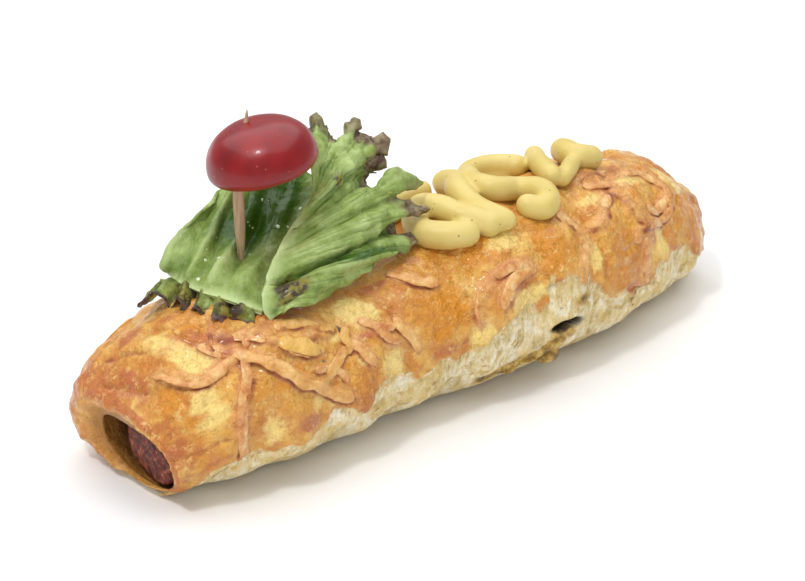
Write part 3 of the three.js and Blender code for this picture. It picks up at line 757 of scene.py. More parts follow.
def sauce_finish():
    paint = Paint("Piped sauce")
    where = paint.place()
    tone = paint.noise(where, 12, 2)
    colour = paint.ramp(tone, [(0.35, srgb(209, 187, 104)), (0.65, srgb(220, 200, 126))])
    speck = 1 - paint.cells(where, 3.6).between(0.05, 0.1)
    colour = paint.blend(speck * 0.8, colour, srgb(112, 100, 50))
    fine = paint.noise(where, 1.6, 3)
    return paint.finish({
        "Base Color": colour,
        "Roughness": 0.38 + 0.1 * fine,
        **soft(0.2, 0.003, (1.0, 0.85, 0.4)),
        "Normal": paint.bump(fine, 0.12, 0.5),
    })


def leaf_paint(name, greens, brown):
    """Nodes that all leaves share: a green, pale ribs with painted highlights on pleat crests, deep green
    with painted shade in folds and pleat valleys, brown stains and brown tips.
    """
    paint = Paint(name)
    where = paint.place()
    colour = paint.ramp(paint.noise(where, 9, 5, 0.62), greens)
    mottle = paint.noise(where, 3, 4, 0.6)
    colour = paint.blend(mottle.between(0.5, 0.72) * 0.45, colour, srgb(176, 200, 128))
    # Pale ribs, with painted highlights on the pleat crests
    colour = paint.blend(paint.mark("rib") * 0.85, colour, srgb(196, 214, 150))
    # Deep green of the cup's hollow, darkened as painted shade in folds and pleat valleys
    colour = paint.blend((paint.mark("deep") * (mottle + 0.5)).between(0.05, 0.9), colour, srgb(54, 94, 6))
    stain = (paint.mark("stain") * (paint.noise(where, 2.0, 4, 0.7) + 0.4)).between(0.12, 0.9)
    rusty = paint.ramp(paint.noise(where, 2.6, 3), [(0.42, srgb(132, 124, 44)), (0.54, srgb(66, 52, 38))])
    colour = paint.blend(stain, colour, rusty)
    tips = (paint.mark("tip") * (paint.noise(where, 2.2, 4, 0.65) + 0.55)).between(0.12, 0.75)
    browns = paint.ramp(paint.noise(where, 2.4, 3), [(0.36, brown[0]), (0.62, brown[1])])
    colour = paint.blend(tips, colour, browns)
    return paint, where, colour


def leaf_gloss(paint, where, colour):
    fine = paint.noise(where, 1.2, 4, 0.6)
    normal = paint.bump(paint.noise(where, 2.4, 4, 0.6), 0.8, 0.7)
    normal = paint.bump(fine, 0.25, 0.7, normal)
    return paint.finish({
        "Base Color": colour,
        "Roughness": 0.3 + 0.22 * fine,
        "Specular IOR Level": 0.35,
        "Coat Weight": 0.06 + 0.5 * paint.mark("deep"),
        "Coat Roughness": 0.08,
        **soft(0.14, 0.002, (0.5, 1.0, 0.3)),
        "Normal": normal,
    })


def lettuce_finish():
    greens = [(0.34, srgb(108, 132, 54)), (0.5, srgb(140, 162, 82)), (0.66, srgb(168, 186, 116))]
    return leaf_gloss(*leaf_paint("Lettuce leaf", greens, [srgb(84, 56, 46), srgb(150, 132, 104)]))


def frill_finish():
    greens = [(0.36, srgb(62, 74, 28)), (0.5, srgb(116, 126, 56)), (0.64, srgb(166, 176, 98))]
    return leaf_gloss(*leaf_paint("Brown frilled leaf edge", greens, [srgb(58, 36, 36), srgb(112, 88, 84)]))


def tomato_finish():
    paint = Paint("Tomato skin")
    where = paint.place()
    tone = paint.noise(where, 9, 3)
    colour = paint.ramp(tone, [(0.3, srgb(116, 10, 16)), (0.7, srgb(146, 18, 24))])
    speck = 1 - paint.cells(where, 3.2).between(0.04, 0.09)
    colour = paint.blend(speck * 0.5, colour, srgb(196, 120, 96))
    flesh = paint.ramp(paint.noise(where, 3, 3), [(0.3, srgb(176, 44, 32)), (0.7, srgb(206, 84, 56))])
    colour = paint.blend(paint.mark("cut"), colour, flesh)
    return paint.finish({
        "Base Color": colour,
        "Roughness": 0.3 + 0.12 * paint.noise(where, 2, 3),
        "Specular IOR Level": 0.35,
        "Coat Weight": 0.26,
        "Coat Roughness": 0.12,
        **soft(0.1, 0.003, (1.0, 0.2, 0.1)),
        "Normal": paint.bump(paint.noise(where, 4, 3), 0.3, 0.4),
    })


def wood_finish():
    paint = Paint("Pale wood")
    grain = paint.noise(paint.place((1, 1, 0.06)), 0.5, 4, 0.6)
    colour = paint.ramp(grain, [(0.3, srgb(166, 134, 104)), (0.6, srgb(196, 166, 132))])
    return paint.finish({
        "Base Color": colour,
        "Roughness": 0.6 + 0.1 * grain,
        "Normal": paint.bump(grain, 0.12, 0.6),
    })


# The crust
STATIONS = 322
ROUND_POINTS = 266
NEAR_LIP_RINGS = 16
FAR_LIP_RINGS = 6
FINE_ARC = (-58, 138)
FINE_WEIGHT = 2.1


def round_angles():
    """Angles round the roll, closer together on the side that shows."""
    even = np.linspace(-180, 180, 3601)
    weight = np.where((even > FINE_ARC[0]) & (even < FINE_ARC[1]), FINE_WEIGHT, 1.0)
    share = np.concatenate([[0], np.cumsum(weight[1:])])
    wanted = np.linspace(0, share[-1], ROUND_POINTS, endpoint=False)
    return np.radians(np.interp(wanted, share, even))


def crust_rings():
    """All rings of the crust in order: outside, far lip, bore, hollow and near lip."""
    angle = round_angles()[None, :]
    x = np.linspace(NEAR_END, FAR_END, STATIONS)[:, None]
    outside = crust_point(x, angle)
    far = [lip_point(FAR_END, 1, FAR_MOUTH, angle[0], s) for s in np.linspace(0.1, 1, FAR_LIP_RINGS)]
    bore = sausage_point(np.linspace(104, -80, 9)[:, None], angle, GAP)
    hollow = hollow_point(np.arange(-81, -97.2, -2)[:, None], angle)
    near = [lip_point(NEAR_END, -1, MOUTH, angle[0], s) for s in np.linspace(1, 0.06, NEAR_LIP_RINGS)]
    joint = [lerp(hollow[-1], near[0], share) for share in (0.25, 0.5, 0.75)]
    hollow = np.concatenate([hollow, joint])
    far, near = np.array(far), np.array(near)
    return {"outside": outside, "far": far, "bore": bore, "hollow": hollow, "near": near}, x, angle


def fine_relief(x, angle, skin):
    """Blisters and wrinkles of the skin, and gills and torn layers of the flaky side."""
    places = on_roll(x, angle)
    blisters = 0.5 * fractal(places, 11, 3) + 0.34 * fractal(places, 4.2, 5, 4)
    wrinkles = 1 - 2 * np.abs(fractal(places * (1, 0.6, 0.6), 5.5, 13, 3))
    blisters = blisters + 0.34 * wrinkles
    gills = 1 - 2 * np.abs(fractal(places * (1, 0.2, 0.2), 1.9, 7, 2))
    torn = 0.3 * gills + 0.35 * fractal(places * (0.5, 1, 1), 3.5, 9, 3)
    return skin * blisters + (1 - skin) * torn


def back_shreds():
    """Shreds on the side that faces away: short bent routes drawn by a seed."""
    draw = seeded(BACK_SHREDS["seed"])
    routes = []
    for i in range(BACK_SHREDS["count"]):
        x = lerp(BACK_SHREDS["from"], BACK_SHREDS["to"], (i + 0.2 + 0.6 * draw()) / BACK_SHREDS["count"])
        start = lerp(BACK_SHREDS["top"], BACK_SHREDS["low"], 0.5 * draw())
        lean = 14 * (draw() - 0.5)
        drop = 16 + 14 * draw()
        bend = 6 * (draw() - 0.5)
        route = [(x, start), (x + lean / 2 + bend, start - drop / 2), (x + lean, start - drop)]
        routes.append((1.4 + 0.5 * draw(), draw(), route))
    return routes


ROUTE_STEP = 0.7


def route_on_crust(route):
    """Points on the crust and its outward directions along a route."""
    rough = np.array([crust_point(x, math.radians(degrees)) for x, degrees in route])
    count = max(8, int(path_length(rough) / ROUTE_STEP))
    flat = smooth_path(route, count)
    x, angle = flat[:, 0], np.radians(flat[:, 1])
    point = crust_point(x, angle)
    out = crust_point(x, angle, 1.0) - point
    return point, out / np.linalg.norm(out, axis=-1, keepdims=True)


def side_of(middle, out):
    along = np.gradient(middle, axis=0)
    along /= np.linalg.norm(along, axis=-1, keepdims=True)
    side = np.cross(out, along)
    return side / np.linalg.norm(side, axis=-1, keepdims=True)


def shred_line(half_width, route, seed):
    """Middle line of a shred, its outward directions and its half width, which wobbles and ends round."""
    middle, out = route_on_crust(route)
    middle = middle + 0.6 * fractal(middle, 5, seed, 2)[:, None] * side_of(middle, out)
    curl = round_ends(middle, 1.7 * half_width)
    return middle, out, half_width * (1 + 0.3 * fractal(middle, 4, seed, 3)) * curl


def shred_rings(half_width, route, seed):
    """A shred baked onto the crust: a flattened, lumpy bar."""
    middle, out, radii = shred_line(half_width, route, seed)
    side = side_of(middle, out)
    turn = turns(SHRED_SIDES)
    wide = radii[:, None, None]
    high = (SHRED_FLAT * radii)[:, None, None]
    lift = SHRED_LIFT + 0.2 * lattice_noise(middle, 5, seed + 3)[:, None]
    rings = (middle + lift * out)[:, None, :] + wide * np.cos(turn)[None, :, None] * side[:, None, :]
    rings = rings + high * np.sin(turn)[None, :, None] * out[:, None, :]
    rings = rings + 0.26 * fractal(rings, 2.2, seed + 7, 3)[..., None] * out[:, None, :]
    # The edge mark: browning at the base of the shred, darker on its lower side as painted shade
    low_side = -np.cos(turn)[None, :] * side[:, 2][:, None]
    edge = (1 - smoothstep(np.sin(turn), 0.0, 0.7))[None, :] * smoothstep(low_side, -0.5, 0.5)
    return rings, edge


def distance_to(middle, points, radii=0.0):
    """How far points lie from a route less its radius there, and the height of the nearest place."""
    tree = kdtree.KDTree(len(middle))
    for i, point in enumerate(middle):
        tree.insert(point, i)
    tree.balance()
    radii = np.broadcast_to(radii, len(middle))
    away = np.empty(points.shape[:-1])
    height = np.empty(points.shape[:-1])
    for spot in np.ndindex(away.shape):
        place, index, distance = tree.find(points[spot])
        away[spot] = distance - radii[index]
        height[spot] = place[2]
    return away, height


# Colour patches of the crust: x, degrees from the top, reach along and round
PALE_PATCHES = [
    (-90, 5, 2.5, 9), (-88.5, 20, 2.5, 9), (-86, 31, 3, 6), (-90, 55, 5, 8), (-88, 66, 4, 5),
    (-40, 34, 5, 7), (-36, 42, 5, 8), (-48, 48, 4, 3), (-33, 80, 4, 14), (-44, 66, 3, 6),
    (40.8, 62, 2.4, 13), (14, 69, 8, 6), (70, 22, 5, 5), (88, 22, 3, 10), (72, 72, 2.5, 12),
    (-3, 82, 3, 12), (-74, 92, 3, 12), (14, 33, 6, 6), (50, 26, 5, 7), (-58, 82, 5, 6), (94, 30, 4, 12),
]
AMBER_PATCHES = [
    (-83, 12, 3, 9), (-79, 60, 3, 10), (-66, 62, 5, 7), (-13, 55, 8, 14), (-18, 70, 6, 8), (6, 34, 5, 8),
    (27, 46, 5, 12), (28, 60, 5, 8), (54, 62, 6, 14), (52, 80, 6, 8), (68, 30, 4, 7), (76, 66, 5, 9),
    (-96, 40, 3, 14), (-92, 58, 3, 5), (-52, 63, 4, 6), (0, 8, 5, 10), (90, 48, 6, 14),
]
# Rusty brown patches of the crust; those at the near end, from x -99 to -103, are painted shade on its shaded
# rim
RUST_AND_SHADE_PATCHES = [
    (-99, 6, 3, 20), (-101, 60, 3, 14), (-96, 84, 5, 8), (-90, 97, 7, 5), (-66, 92, 6, 8), (-76, 26, 6, 5),
    (-66, 27, 8, 3), (-15, 83, 8, 5), (-40, 54, 3, 3), (-34, 66, 3, 4), (12, 61, 7, 3), (77.5, 31, 2.5, 6),
    (-52, 57, 2.5, 2), (-46, 98, 2.5, 8), (57, 90, 5, 5), (104, 50, 7, 40), (-84, -4, 5, 4), (34, 18, 4, 5),
    (-92, -20, 5, 8), (-30, 26, 6, 3), (24, 68, 3, 4), (-102, -60, 6, 50), (-103, 60, 5, 60), (-84, 16, 8, 8),
]
BURNT_SPECKS = [(-46.4, 43, 0.8, 3.4), (-44.8, 57, 0.6, 1.2), (-56.5, 59, 0.7, 1.3)]
# The tear in the side: x, degrees, reach along and round, and its depth
TEAR = {"spot": (27.5, 97, 6.0, 4.4), "deep": 6.5}
# Drops of juice below the tear: x, degrees, and reach along, across and up
DRIPS = [(25.8, 130, (4.2, 3.2, 2.8)), (11, 130, (3.0, 2.4, 1.6)), (18, 124, (4.5, 1.6, 0.9))]
JUICE_PATCHES = [
    (24, 108, 7, 12), (15, 124, 9, 9), (4, 128, 6, 7), (33, 84, 5, 4), (58, 96, 3, 5), (50, 102, 3, 4),
]


NO_SHRED_NEAR = 99.0


def patches(x, angle, spots):
    """Soft round spots on the crust, given by place and reach."""
    degrees = np.degrees(angle)
    total = 0
    for at, where, along, round_reach in spots:
        total = total + bump_at(x, at, along) * bump_at(degrees, where, round_reach)
    return np.clip(total, 0, 1)


def ragged_patches(x, angle, spots, seed):
    """Patches whose outlines wander."""
    places = on_roll(x, angle)
    shift = 1 + 0.9 * fractal(places, 6, seed, 3)
    return np.clip(patches(x, angle, spots) * shift, 0, 1)


def crease_depth(points):
    """How deep the creases cut into the crust at each point."""
    depth = np.zeros(points.shape[:-1])
    for deep, wide, route in CREASES:
        away, _ = distance_to(route_on_crust(route)[0], points)
        depth = np.maximum(depth, deep * np.exp(-((away / wide) ** 2)))
    return depth


def shred_surroundings(points):
    """How far points of the crust lie from the nearest shred, and how dark its outline is there: scorched
    brown, darker on the crust below the shred as painted shade.
    """
    nearest = np.full(points.shape[:2], NO_SHRED_NEAR)
    outline = np.zeros(nearest.shape)
    for seed, (half_width, _, route) in enumerate(SHREDS + back_shreds(), SHRED_SEED):
        middle, _, radii = shred_line(half_width, route, seed)
        away, shred_height = distance_to(middle, points, radii)
        nearest = np.minimum(nearest, away)
        # Painted shade: the outline darkens on the crust below each shred
        below = smoothstep(shred_height - points[..., 2], -0.6, 0.8)
        outline = np.maximum(outline, (0.2 + 0.8 * below) * (1 - smoothstep(away, 0.1, 1.3)))
    return nearest, outline


def outside_marks(x, angle, skin, nearest, outline, creases, tear):
    """What each point outside tells the finish: its patches, which at the near end are painted shade, baked
    edges with painted shade below shreds and in creases, juice, painted shade in the tear and loose flakes.
    """
    places = on_roll(x, angle)
    broken = np.clip(0.55 + 0.6 * fractal(places, 4, 53, 3), 0.25, 1)
    outline = outline * broken
    specks = patches(x, angle, BURNT_SPECKS) * (1 + 0.6 * fractal(places, 1.6, 49, 2))
    flaky = 4 * skin * (1 - skin) + 0.12 * (1 - skin) * (down_degrees(angle) < 130)
    return {
        "skin": skin,
        "pale": ragged_patches(x, angle, PALE_PATCHES, 41),
        "amber": ragged_patches(x, angle, AMBER_PATCHES, 43),
        "rust_and_shade": ragged_patches(x, angle, RUST_AND_SHADE_PATCHES, 47),
        "juice": ragged_patches(x, angle, JUICE_PATCHES, 57) * (1 - skin),
        "burnt": smoothstep(specks, 0.35, 0.6),
        "cheese": (1 - smoothstep(nearest, 0.2, 1.8)) * (1 - outline),
        # Scorched edges of shreds and creases, darkened as painted shade in the creases and below the shreds
        "scorch_and_shade": np.maximum(outline, 0.75 * broken * smoothstep(creases, 0.15, 0.9)),
        # The tear's inside: painted shade and dark juice
        "tear_shade_and_juice": smoothstep(tear, 0.2, 0.5),
        "scatter": flaky * (1 - smoothstep(tear, 0.0, 0.1)),
        "inside": 0,
    }


def outside_height(x, angle, skin, nearest, creases, tear):
    """How far the outside stands off the plain roll, down to nothing on the underside."""
    skirt = 0.45 * (1 - smoothstep(nearest, -1.0, 1.6))
    height = fine_relief(x, angle, skin) + skirt - creases
    height = height - TEAR["deep"] * smoothstep(tear, 0.35, 0.75)
    return height * (1 - smoothstep(down_degrees(angle), 128, 155))


def make_crust(finish):
    parts, x, angle = crust_rings()
    outside, near = parts["outside"], parts["near"]
    points = np.concatenate(list(parts.values()))
    total, around = points.shape[:2]
    near_start = total - len(near)
    hollow = slice(len(outside) + len(parts["far"]), near_start)
    from_inside = np.linspace(0, 1, len(near))[:, None]
    skin = skin_share(x, angle)
    nearest, outline = shred_surroundings(outside)
    creases = crease_depth(outside)
    tear = patches(x, angle, [TEAR["spot"]])

    marks = {}
    for key, values in outside_marks(x, angle, skin, nearest, outline, creases, tear).items():
        marks[key] = np.zeros((total, around))
        marks[key][: len(outside)] = values
    marks["skin"][near_start:] = 1
    # Painted shade on the outer part of the near lip
    marks["rust_and_shade"][near_start:] = smoothstep(from_inside, 0.3, 0.8)
    # Painted shade, darker deeper into the hollow and on the inner lip
    marks["inside"][hollow] = 0.5 + 0.5 * smoothstep(points[hollow][..., 0], -99, -90)
    marks["inside"][near_start:] = 0.5 * (1 - smoothstep(from_inside, 0.05, 0.6))

    height = np.zeros((total, around))
    height[: len(outside)] = outside_height(x, angle, skin, nearest, creases, tear)
    edge_height = height[0] * (1 - smoothstep(np.arange(len(near))[::-1], 0, 8))[:, None]
    height[near_start:] = edge_height + 0.8 * fractal(near, 4.5, 21, 4) * np.sin(math.pi * from_inside)
    points = points - grid_normals(points, True, True) * height[..., None]
    points[..., 2] = np.maximum(points[..., 2], 0)
    faces = grid_faces(total, around, True, True)
    if enclosed(points.reshape(-1, 3), faces) < 0:
        faces = faces[:, ::-1]
    return mesh_piece("pastry_crust", points, faces, finish, marks)


def make_shreds(finish):
    """All shreds as one joined mesh."""
    points, faces, edges, yellows = [], [], [], []
    start = 0
    for seed, (half_width, yellow, route) in enumerate(SHREDS + back_shreds(), SHRED_SEED):
        rings, edge = shred_rings(half_width, route, seed)
        count, around = rings.shape[:2]
        points.append(capped_points(rings))
        faces += [tuple(start + i for i in face[::-1]) for face in capped_faces(count, around)]
        edges += [edge.ravel(), [1, 1]]
        yellows.append(np.full(count * around + 2, yellow))
        start += count * around + 2
    marks = {"edge": np.concatenate(edges), "yellow": np.concatenate(yellows)}
    return mesh_piece("cheese_shreds", np.vstack(points), faces, finish, marks)


# Middle and half width of the torn flake
TORN_FLAKE = [
    (-91.2, -9.6, 3.2, 1.5), (-93, -9.4, 2.0, 1.3), (-95.2, -8.7, 1.2, 0.9), (-97.2, -7.4, 0.9, 0.25),
]


def make_torn_flake(finish):
    """A thin pointed flake of pastry that lies on the table at the mouth."""
    path = smooth_path(TORN_FLAKE, 30)
    rings = bar_rings(path[:, :3], path[:, 3])
    rings[..., 2] = np.maximum(path[:, 2][:, None] + 0.55 * (rings[..., 2] - path[:, 2][:, None]), 0)
    return closed_grid("torn_flake", rings, finish, {"skin": np.full(rings.shape[:2], 0.6)})


def make_drips(finish):
    """Drops of juice that have run out of the tear and set on the side."""
    drops = []
    turn = turns(40)
    along = np.linspace(0.04, math.pi - 0.04, 26)[:, None]
    ball = [-np.cos(along) + 0 * turn, np.sin(along) * np.cos(turn), np.sin(along) * np.sin(turn)]
    ball = np.stack(ball, -1)
    for x, degrees, reach in DRIPS:
        middle = crust_point(x, math.radians(degrees), -0.4)
        rings = middle + ball * reach
        rings = rings + 0.2 * fractal(rings, 4, 71, 2)[..., None] * ball
        rings[..., 2] = np.maximum(rings[..., 2], 0.1)
        drops.append(closed_grid("drip", rings, finish, {"juice": np.full(rings.shape[:2], 0.9)}))
    return joined("juice_drips", drops)


# Rings of the sausage are close together up to here, where it shows
FINE_UNTIL, FINE_STEP = -76, 0.6
END_DOMES = {"near": 2.2, "far": 1.6}


def make_sausage(finish):
    angle = turns(160)[None, :]
    near, far = SAUSAGE["near"], SAUSAGE["far"]
    fine = np.arange(near, FINE_UNTIL, FINE_STEP)
    x = np.concatenate([fine, np.linspace(FINE_UNTIL, far - 2, 40)])[:, None]
    body = sausage_point(x, angle)
    middle = np.stack([x[:, 0], *sausage_ring(x[:, 0])[1:]], -1)[:, None, :]
    body += (body - middle) * (0.03 * fractal(body, 4, 31, 3)[..., None])
    shares = np.linspace(0.02, 0.97, 22)
    dome = np.sqrt(1 - shares**2)[:, None]
    face = np.array([lerp(body[0].mean(axis=0), body[0], share) for share in shares])
    face[..., 0] -= END_DOMES["near"] * dome
    face[..., 0] -= 0.8 * fractal(face, 4, 33, 3)
    back = np.array([lerp(body[-1].mean(axis=0), body[-1], share) for share in shares[::-1]])
    back[..., 0] += END_DOMES["far"] * dome[::-1]
    return closed_grid("sausage", np.concatenate([face, body, back]), finish)


# Sauce
# Half width and route of each bead, in mm; some lie on others
SAUCE_PASSES = [
    (3.4, [(-2, 13, 46.5), (4, 12, 47), (8.8, 12, 48.5), (14.1, 12, 49.5)]),
    (3.3, [(-2, 13, 49.5), (4, 12, 51.1), (8.8, 12, 51.2), (14.1, 12, 50.6)]),
    (3.8, [(16.3, 12, 50), (20, 11.3, 51.2), (19.2, 6, 53), (15.5, 0.8, 53.5), (13.2, -6.8, 52.8),
           (13.9, -14, 51.8), (15.8, -19, 50.3), (16.1, -21, 49)]),
    (3.9, [(6.8, -17.4, 49.9), (2.4, -16.2, 49.8), (-1.9, -12.2, 49.4), (-4.6, -6.7, 49.2),
           (-2.1, -0.2, 50.1), (2, 2.2, 52), (4.3, -3.3, 53.2), (6.3, -10, 52.3), (9.9, -14.9, 51),
           (13.3, -19.9, 49.7)]),
    (3.4, [(43.6, 8.5, 48.6), (37.7, 11, 48.4), (32.5, 12, 48.4), (28.5, 11, 49.4)]),
    (3.6, [(44.5, 4, 52), (43.6, 8.5, 50.9), (37.7, 12, 51.6), (32.5, 13, 51.6), (28.2, 11.5, 51.8),
           (25.4, 7.5, 53), (21.5, 1, 54.2), (22.9, -5.9, 54.3), (30.7, -7.3, 52.7), (34.1, -13.4, 53.1),
           (33.4, -17.7, 51.9), (29.7, -19.4, 50.9), (26.3, -16.5, 51.6), (23.2, -15.4, 52.1)]),
    (3.4, [(51, 10.5, 49), (51.5, 7, 49.5)]),
    (3.5, [(51, 11, 52), (51.8, 8, 51.9), (48.5, 2.5, 52.8), (45.7, -2.6, 53.4), (43.5, -8.5, 53.2),
           (43.8, -11.5, 52.4)]),
    (3.9, [(62.8, 10, 51), (62.2, 5.5, 51.7), (61.3, 0, 52), (65, -1.7, 51.1), (69.8, -1, 49.6)]),
    (2.7, [(59, -2, 51.8), (51, -7.5, 52.6), (44, -11.5, 52.2)]),
]
SAUCE_VOXEL = 0.6
BEAD_STEP = 0.8
SAUCE_SEED = 60


def bar_rings(middle, radii, sides=16):
    """Rings of a round bar along a curve, kept upright."""
    along = np.gradient(middle, axis=0)
    along /= np.linalg.norm(along, axis=-1, keepdims=True)
    side = np.cross(along, (0, 0, 1))
    side /= np.linalg.norm(side, axis=-1, keepdims=True)
    up = np.cross(side, along)
    turn = turns(sides)
    reach = np.asarray(radii)[:, None, None]
    return middle[:, None, :] + reach * (
        np.cos(turn)[None, :, None] * side[:, None, :] + np.sin(turn)[None, :, None] * up[:, None, :])


def joined(name, pieces):
    """Joins mesh pieces into the first one."""
    bpy.ops.object.select_all(action="DESELECT")
    for piece in pieces:
        piece.select_set(True)
    bpy.context.view_layer.objects.active = pieces[0]
    if len(pieces) > 1:
        bpy.ops.object.join()
    pieces[0].name = pieces[0].data.name = name
    return pieces[0]


def applied(piece, kind, settings):
    """Adds a modifier and applies it."""
    modifier = piece.modifiers.new(kind.title(), kind)
    for key, value in settings.items():
        setattr(modifier, key, value)
    bpy.context.view_layer.objects.active = piece
    bpy.ops.object.modifier_apply(modifier=modifier.name)


def mesh_points(piece):
    points = np.empty(len(piece.data.vertices) * 3)
    piece.data.vertices.foreach_get("co", points)
    return points.reshape(-1, 3) / MM


def set_mesh_points(piece, points):
    piece.data.vertices.foreach_set("co", (points * MM).ravel())
    piece.data.update()


def make_sauce(finish):
    beads = []
    for i, (radius, route) in enumerate(SAUCE_PASSES):
        count = max(12, int(path_length(np.array(route)) / BEAD_STEP))
        middle = smooth_path(route, count)
        radii = radius * round_ends(middle, radius) * (1 + 0.09 * fractal(middle, 8, SAUCE_SEED + i, 2))
        beads.append(closed_grid(f"bead_{i}", bar_rings(middle, radii), finish))
    sauce = joined("sauce_zigzag", beads)
    applied(sauce, "REMESH", {"mode": "VOXEL", "voxel_size": SAUCE_VOXEL * MM, "use_smooth_shade": True})
    applied(sauce, "SMOOTH", {"factor": 0.5, "iterations": 5})
    points = mesh_points(sauce)
    set_mesh_points(sauce, points + 0.12 * fractal(points, 5, 71, 2)[:, None] * (0, 0, 1))
    sauce.data.materials.clear()
    sauce.data.materials.append(finish)
    sauce.data.polygons.foreach_set("use_smooth", [True] * len(sauce.data.polygons))
    return sauce


# Lettuce
LEAF_THICK, THIN_RIM = 0.9, 0.5
# Rows from the left edge of the cup, up and back to its rim
CUP_ROWS = [
    [(-71.6, 22, 48), (-73, 15, 47.8), (-73.3, 5, 48.4), (-71.5, -5, 49), (-66, -13, 46.5)],
    [(-73, 22, 50.5), (-69.5, 14, 53), (-66, 7, 54), (-64, -2, 53.5), (-58.5, -7, 49)],
    [(-66, 24, 54.5), (-61, 18, 58), (-54, 13, 54), (-49.5, 8, 53), (-45, 1.5, 51)],
    [(-61, 24, 60), (-53, 22, 62), (-45, 19, 61.5), (-37.5, 15, 60.5), (-34, 8, 57)],
    [(-56, 24, 64), (-47.5, 25, 65.5), (-38, 23, 67), (-29.5, 19, 68), (-25.5, 13, 65)],
]
# The fold spans from its thick pale rib, top to foot, to a torn rim with curled tips
FOLD_RIB = [
    (-36.7, 1, 66), (-40.7, 0, 62.7), (-46.5, -2, 60.3), (-51.9, -4, 57.9), (-57, -6.5, 55.5),
    (-61.4, -9, 53.1), (-64.4, -11.5, 50.2), (-65.2, -13.2, 47.4), (-63.6, -14.5, 45),
]
FOLD_RIM = [
    (-30, 12.2, 79.6), (-27.4, 11.4, 83.6), (-25.6, 11, 80.8), (-23.8, 10.5, 78.4), (-20.3, 10, 77.6),
    (-18.3, 9.6, 78.8), (-14.2, 9.1, 80.6), (-16.1, 8.5, 76.9), (-14, 8, 75.4), (-9.4, 7.5, 73.4),
    (-13.1, 7, 70.9), (-10, 6, 68.4), (-13.7, 5, 66), (-13.8, 4, 63), (-9.5, 3, 63), (-6.2, 2, 66),
    (-4.2, 1, 63.6), (-0.8, 0, 60.4), (-6.5, -1, 61.6), (-8.9, -2, 59.9), (-6, -3, 57.7), (-2, -4.5, 54.6),
    (-7, -5.5, 55.2), (-11.7, -7, 53.4), (-7.3, -8, 49.6), (-8.9, -9, 48.6), (-15.8, -10.5, 49.6),
    (-20, -12, 49.3), (-28.5, -13.5, 48.5), (-39.3, -14.5, 46.8), (-50.2, -15, 45.7),
]
FOLD_SWELL = (-3, -4.5, 3.5)
RIM_REACH = 22
TOOTH = 2.4
# Rows of the frilled edge that hangs from under the cup
FRILL_ROWS = [
    [(-75, 20, 47), (-73, 14, 48), (-72, 6, 48.6), (-71, -3, 48.8), (-67, -11, 47.6)],
    [(-86, 14, 45.8), (-80.5, 10, 46.3), (-78.2, 3, 45.8), (-75, -5, 46.1), (-68.6, -13.2, 45.5)],
]
# Looks of each leaf, along it from 0 to 1 and out from its foot from 0 to 1:
# pleats (place at the foot, at the rim, half width, height), crinkle (place, depth), brown (place, how much),
# spots (place along, out, reach both ways, strength), and the width and extra thickness of the rib
# The deep spots are the cup's deep green hollow and the fold's dark valley, painted darker as shade
CUP_LOOKS = {
    "pleats": [
        (0.04, 0.02, 0.06, 1.6), (0.2, 0.16, 0.05, -1.4), (0.31, 0.3, 0.035, 1.5), (0.42, 0.38, 0.06, -1.2),
        (0.56, 0.5, 0.06, 2.0), (0.68, 0.6, 0.06, -1.5), (0.83, 0.8, 0.05, 1.0), (0.96, 0.92, 0.05, -0.6),
    ],
    "crinkle": [(0, 0.5), (1, 0.5)],
    "brown": [(0, 0.0), (1, 0.0)],
    "deep": [(0.5, 0.62, 0.25, 0.26, 1.0), (0.75, 0.85, 0.2, 0.25, 0.9), (0.2, 0.12, 0.03, 0.3, 0.4)],
    "stain": [],
    "drops": [(0.5, 0.45, 0.25, 0.3, 1), (0.7, 0.8, 0.2, 0.2, 1)],
    "rib": 0.04,
    "rib_thick": 0.3,
}
FOLD_LOOKS = {
    "pleats": [
        (0.1, 0.08, 0.05, -1.0), (0.16, 0.24, 0.05, 1.0), (0.3, 0.33, 0.03, -1.1), (0.4, 0.43, 0.05, 0.8),
        (0.5, 0.5, 0.03, -0.6), (0.6, 0.58, 0.05, 0.9), (0.76, 0.67, 0.035, -3.6), (0.86, 0.78, 0.05, 0.8),
    ],
    "crinkle": [(0, 1.5), (0.3, 2.0), (0.42, 0.8), (0.6, 1.1), (0.7, 1.9), (0.8, 0.7), (1, 0.6)],
    "brown": [(0, 0.55), (0.12, 0.5), (0.3, 1.0), (0.4, 0.2), (0.48, 0.5), (0.7, 0.8), (0.76, 0.1), (1, 0)],
    "deep": [
        (0.75, 0.66, 0.035, 0.3, 1.0), (0.25, 0.5, 0.03, 0.3, 0.6), (0.12, 0.5, 0.025, 0.2, 0.5),
        (0.9, 0.29, 0.04, 0.07, 0.9), (0.96, 0.12, 0.03, 0.08, 0.6),
    ],
    "stain": [
        (0.89, 0.28, 0.07, 0.13, 1.8), (0.82, 0.15, 0.035, 0.05, 1.2), (0.75, 0.16, 0.03, 0.05, 0.7),
        (0.14, 0.17, 0.07, 0.05, 0.9), (0.22, 0.5, 0.05, 0.06, 0.8), (0.31, 0.56, 0.04, 0.05, 0.7),
        (0.05, 0.4, 0.03, 0.05, 0.5), (0.27, 0.9, 0.04, 0.08, 1.0),
    ],
    "drops": [],
    "rib": 0.07,
    "rib_thick": 2.0,
}
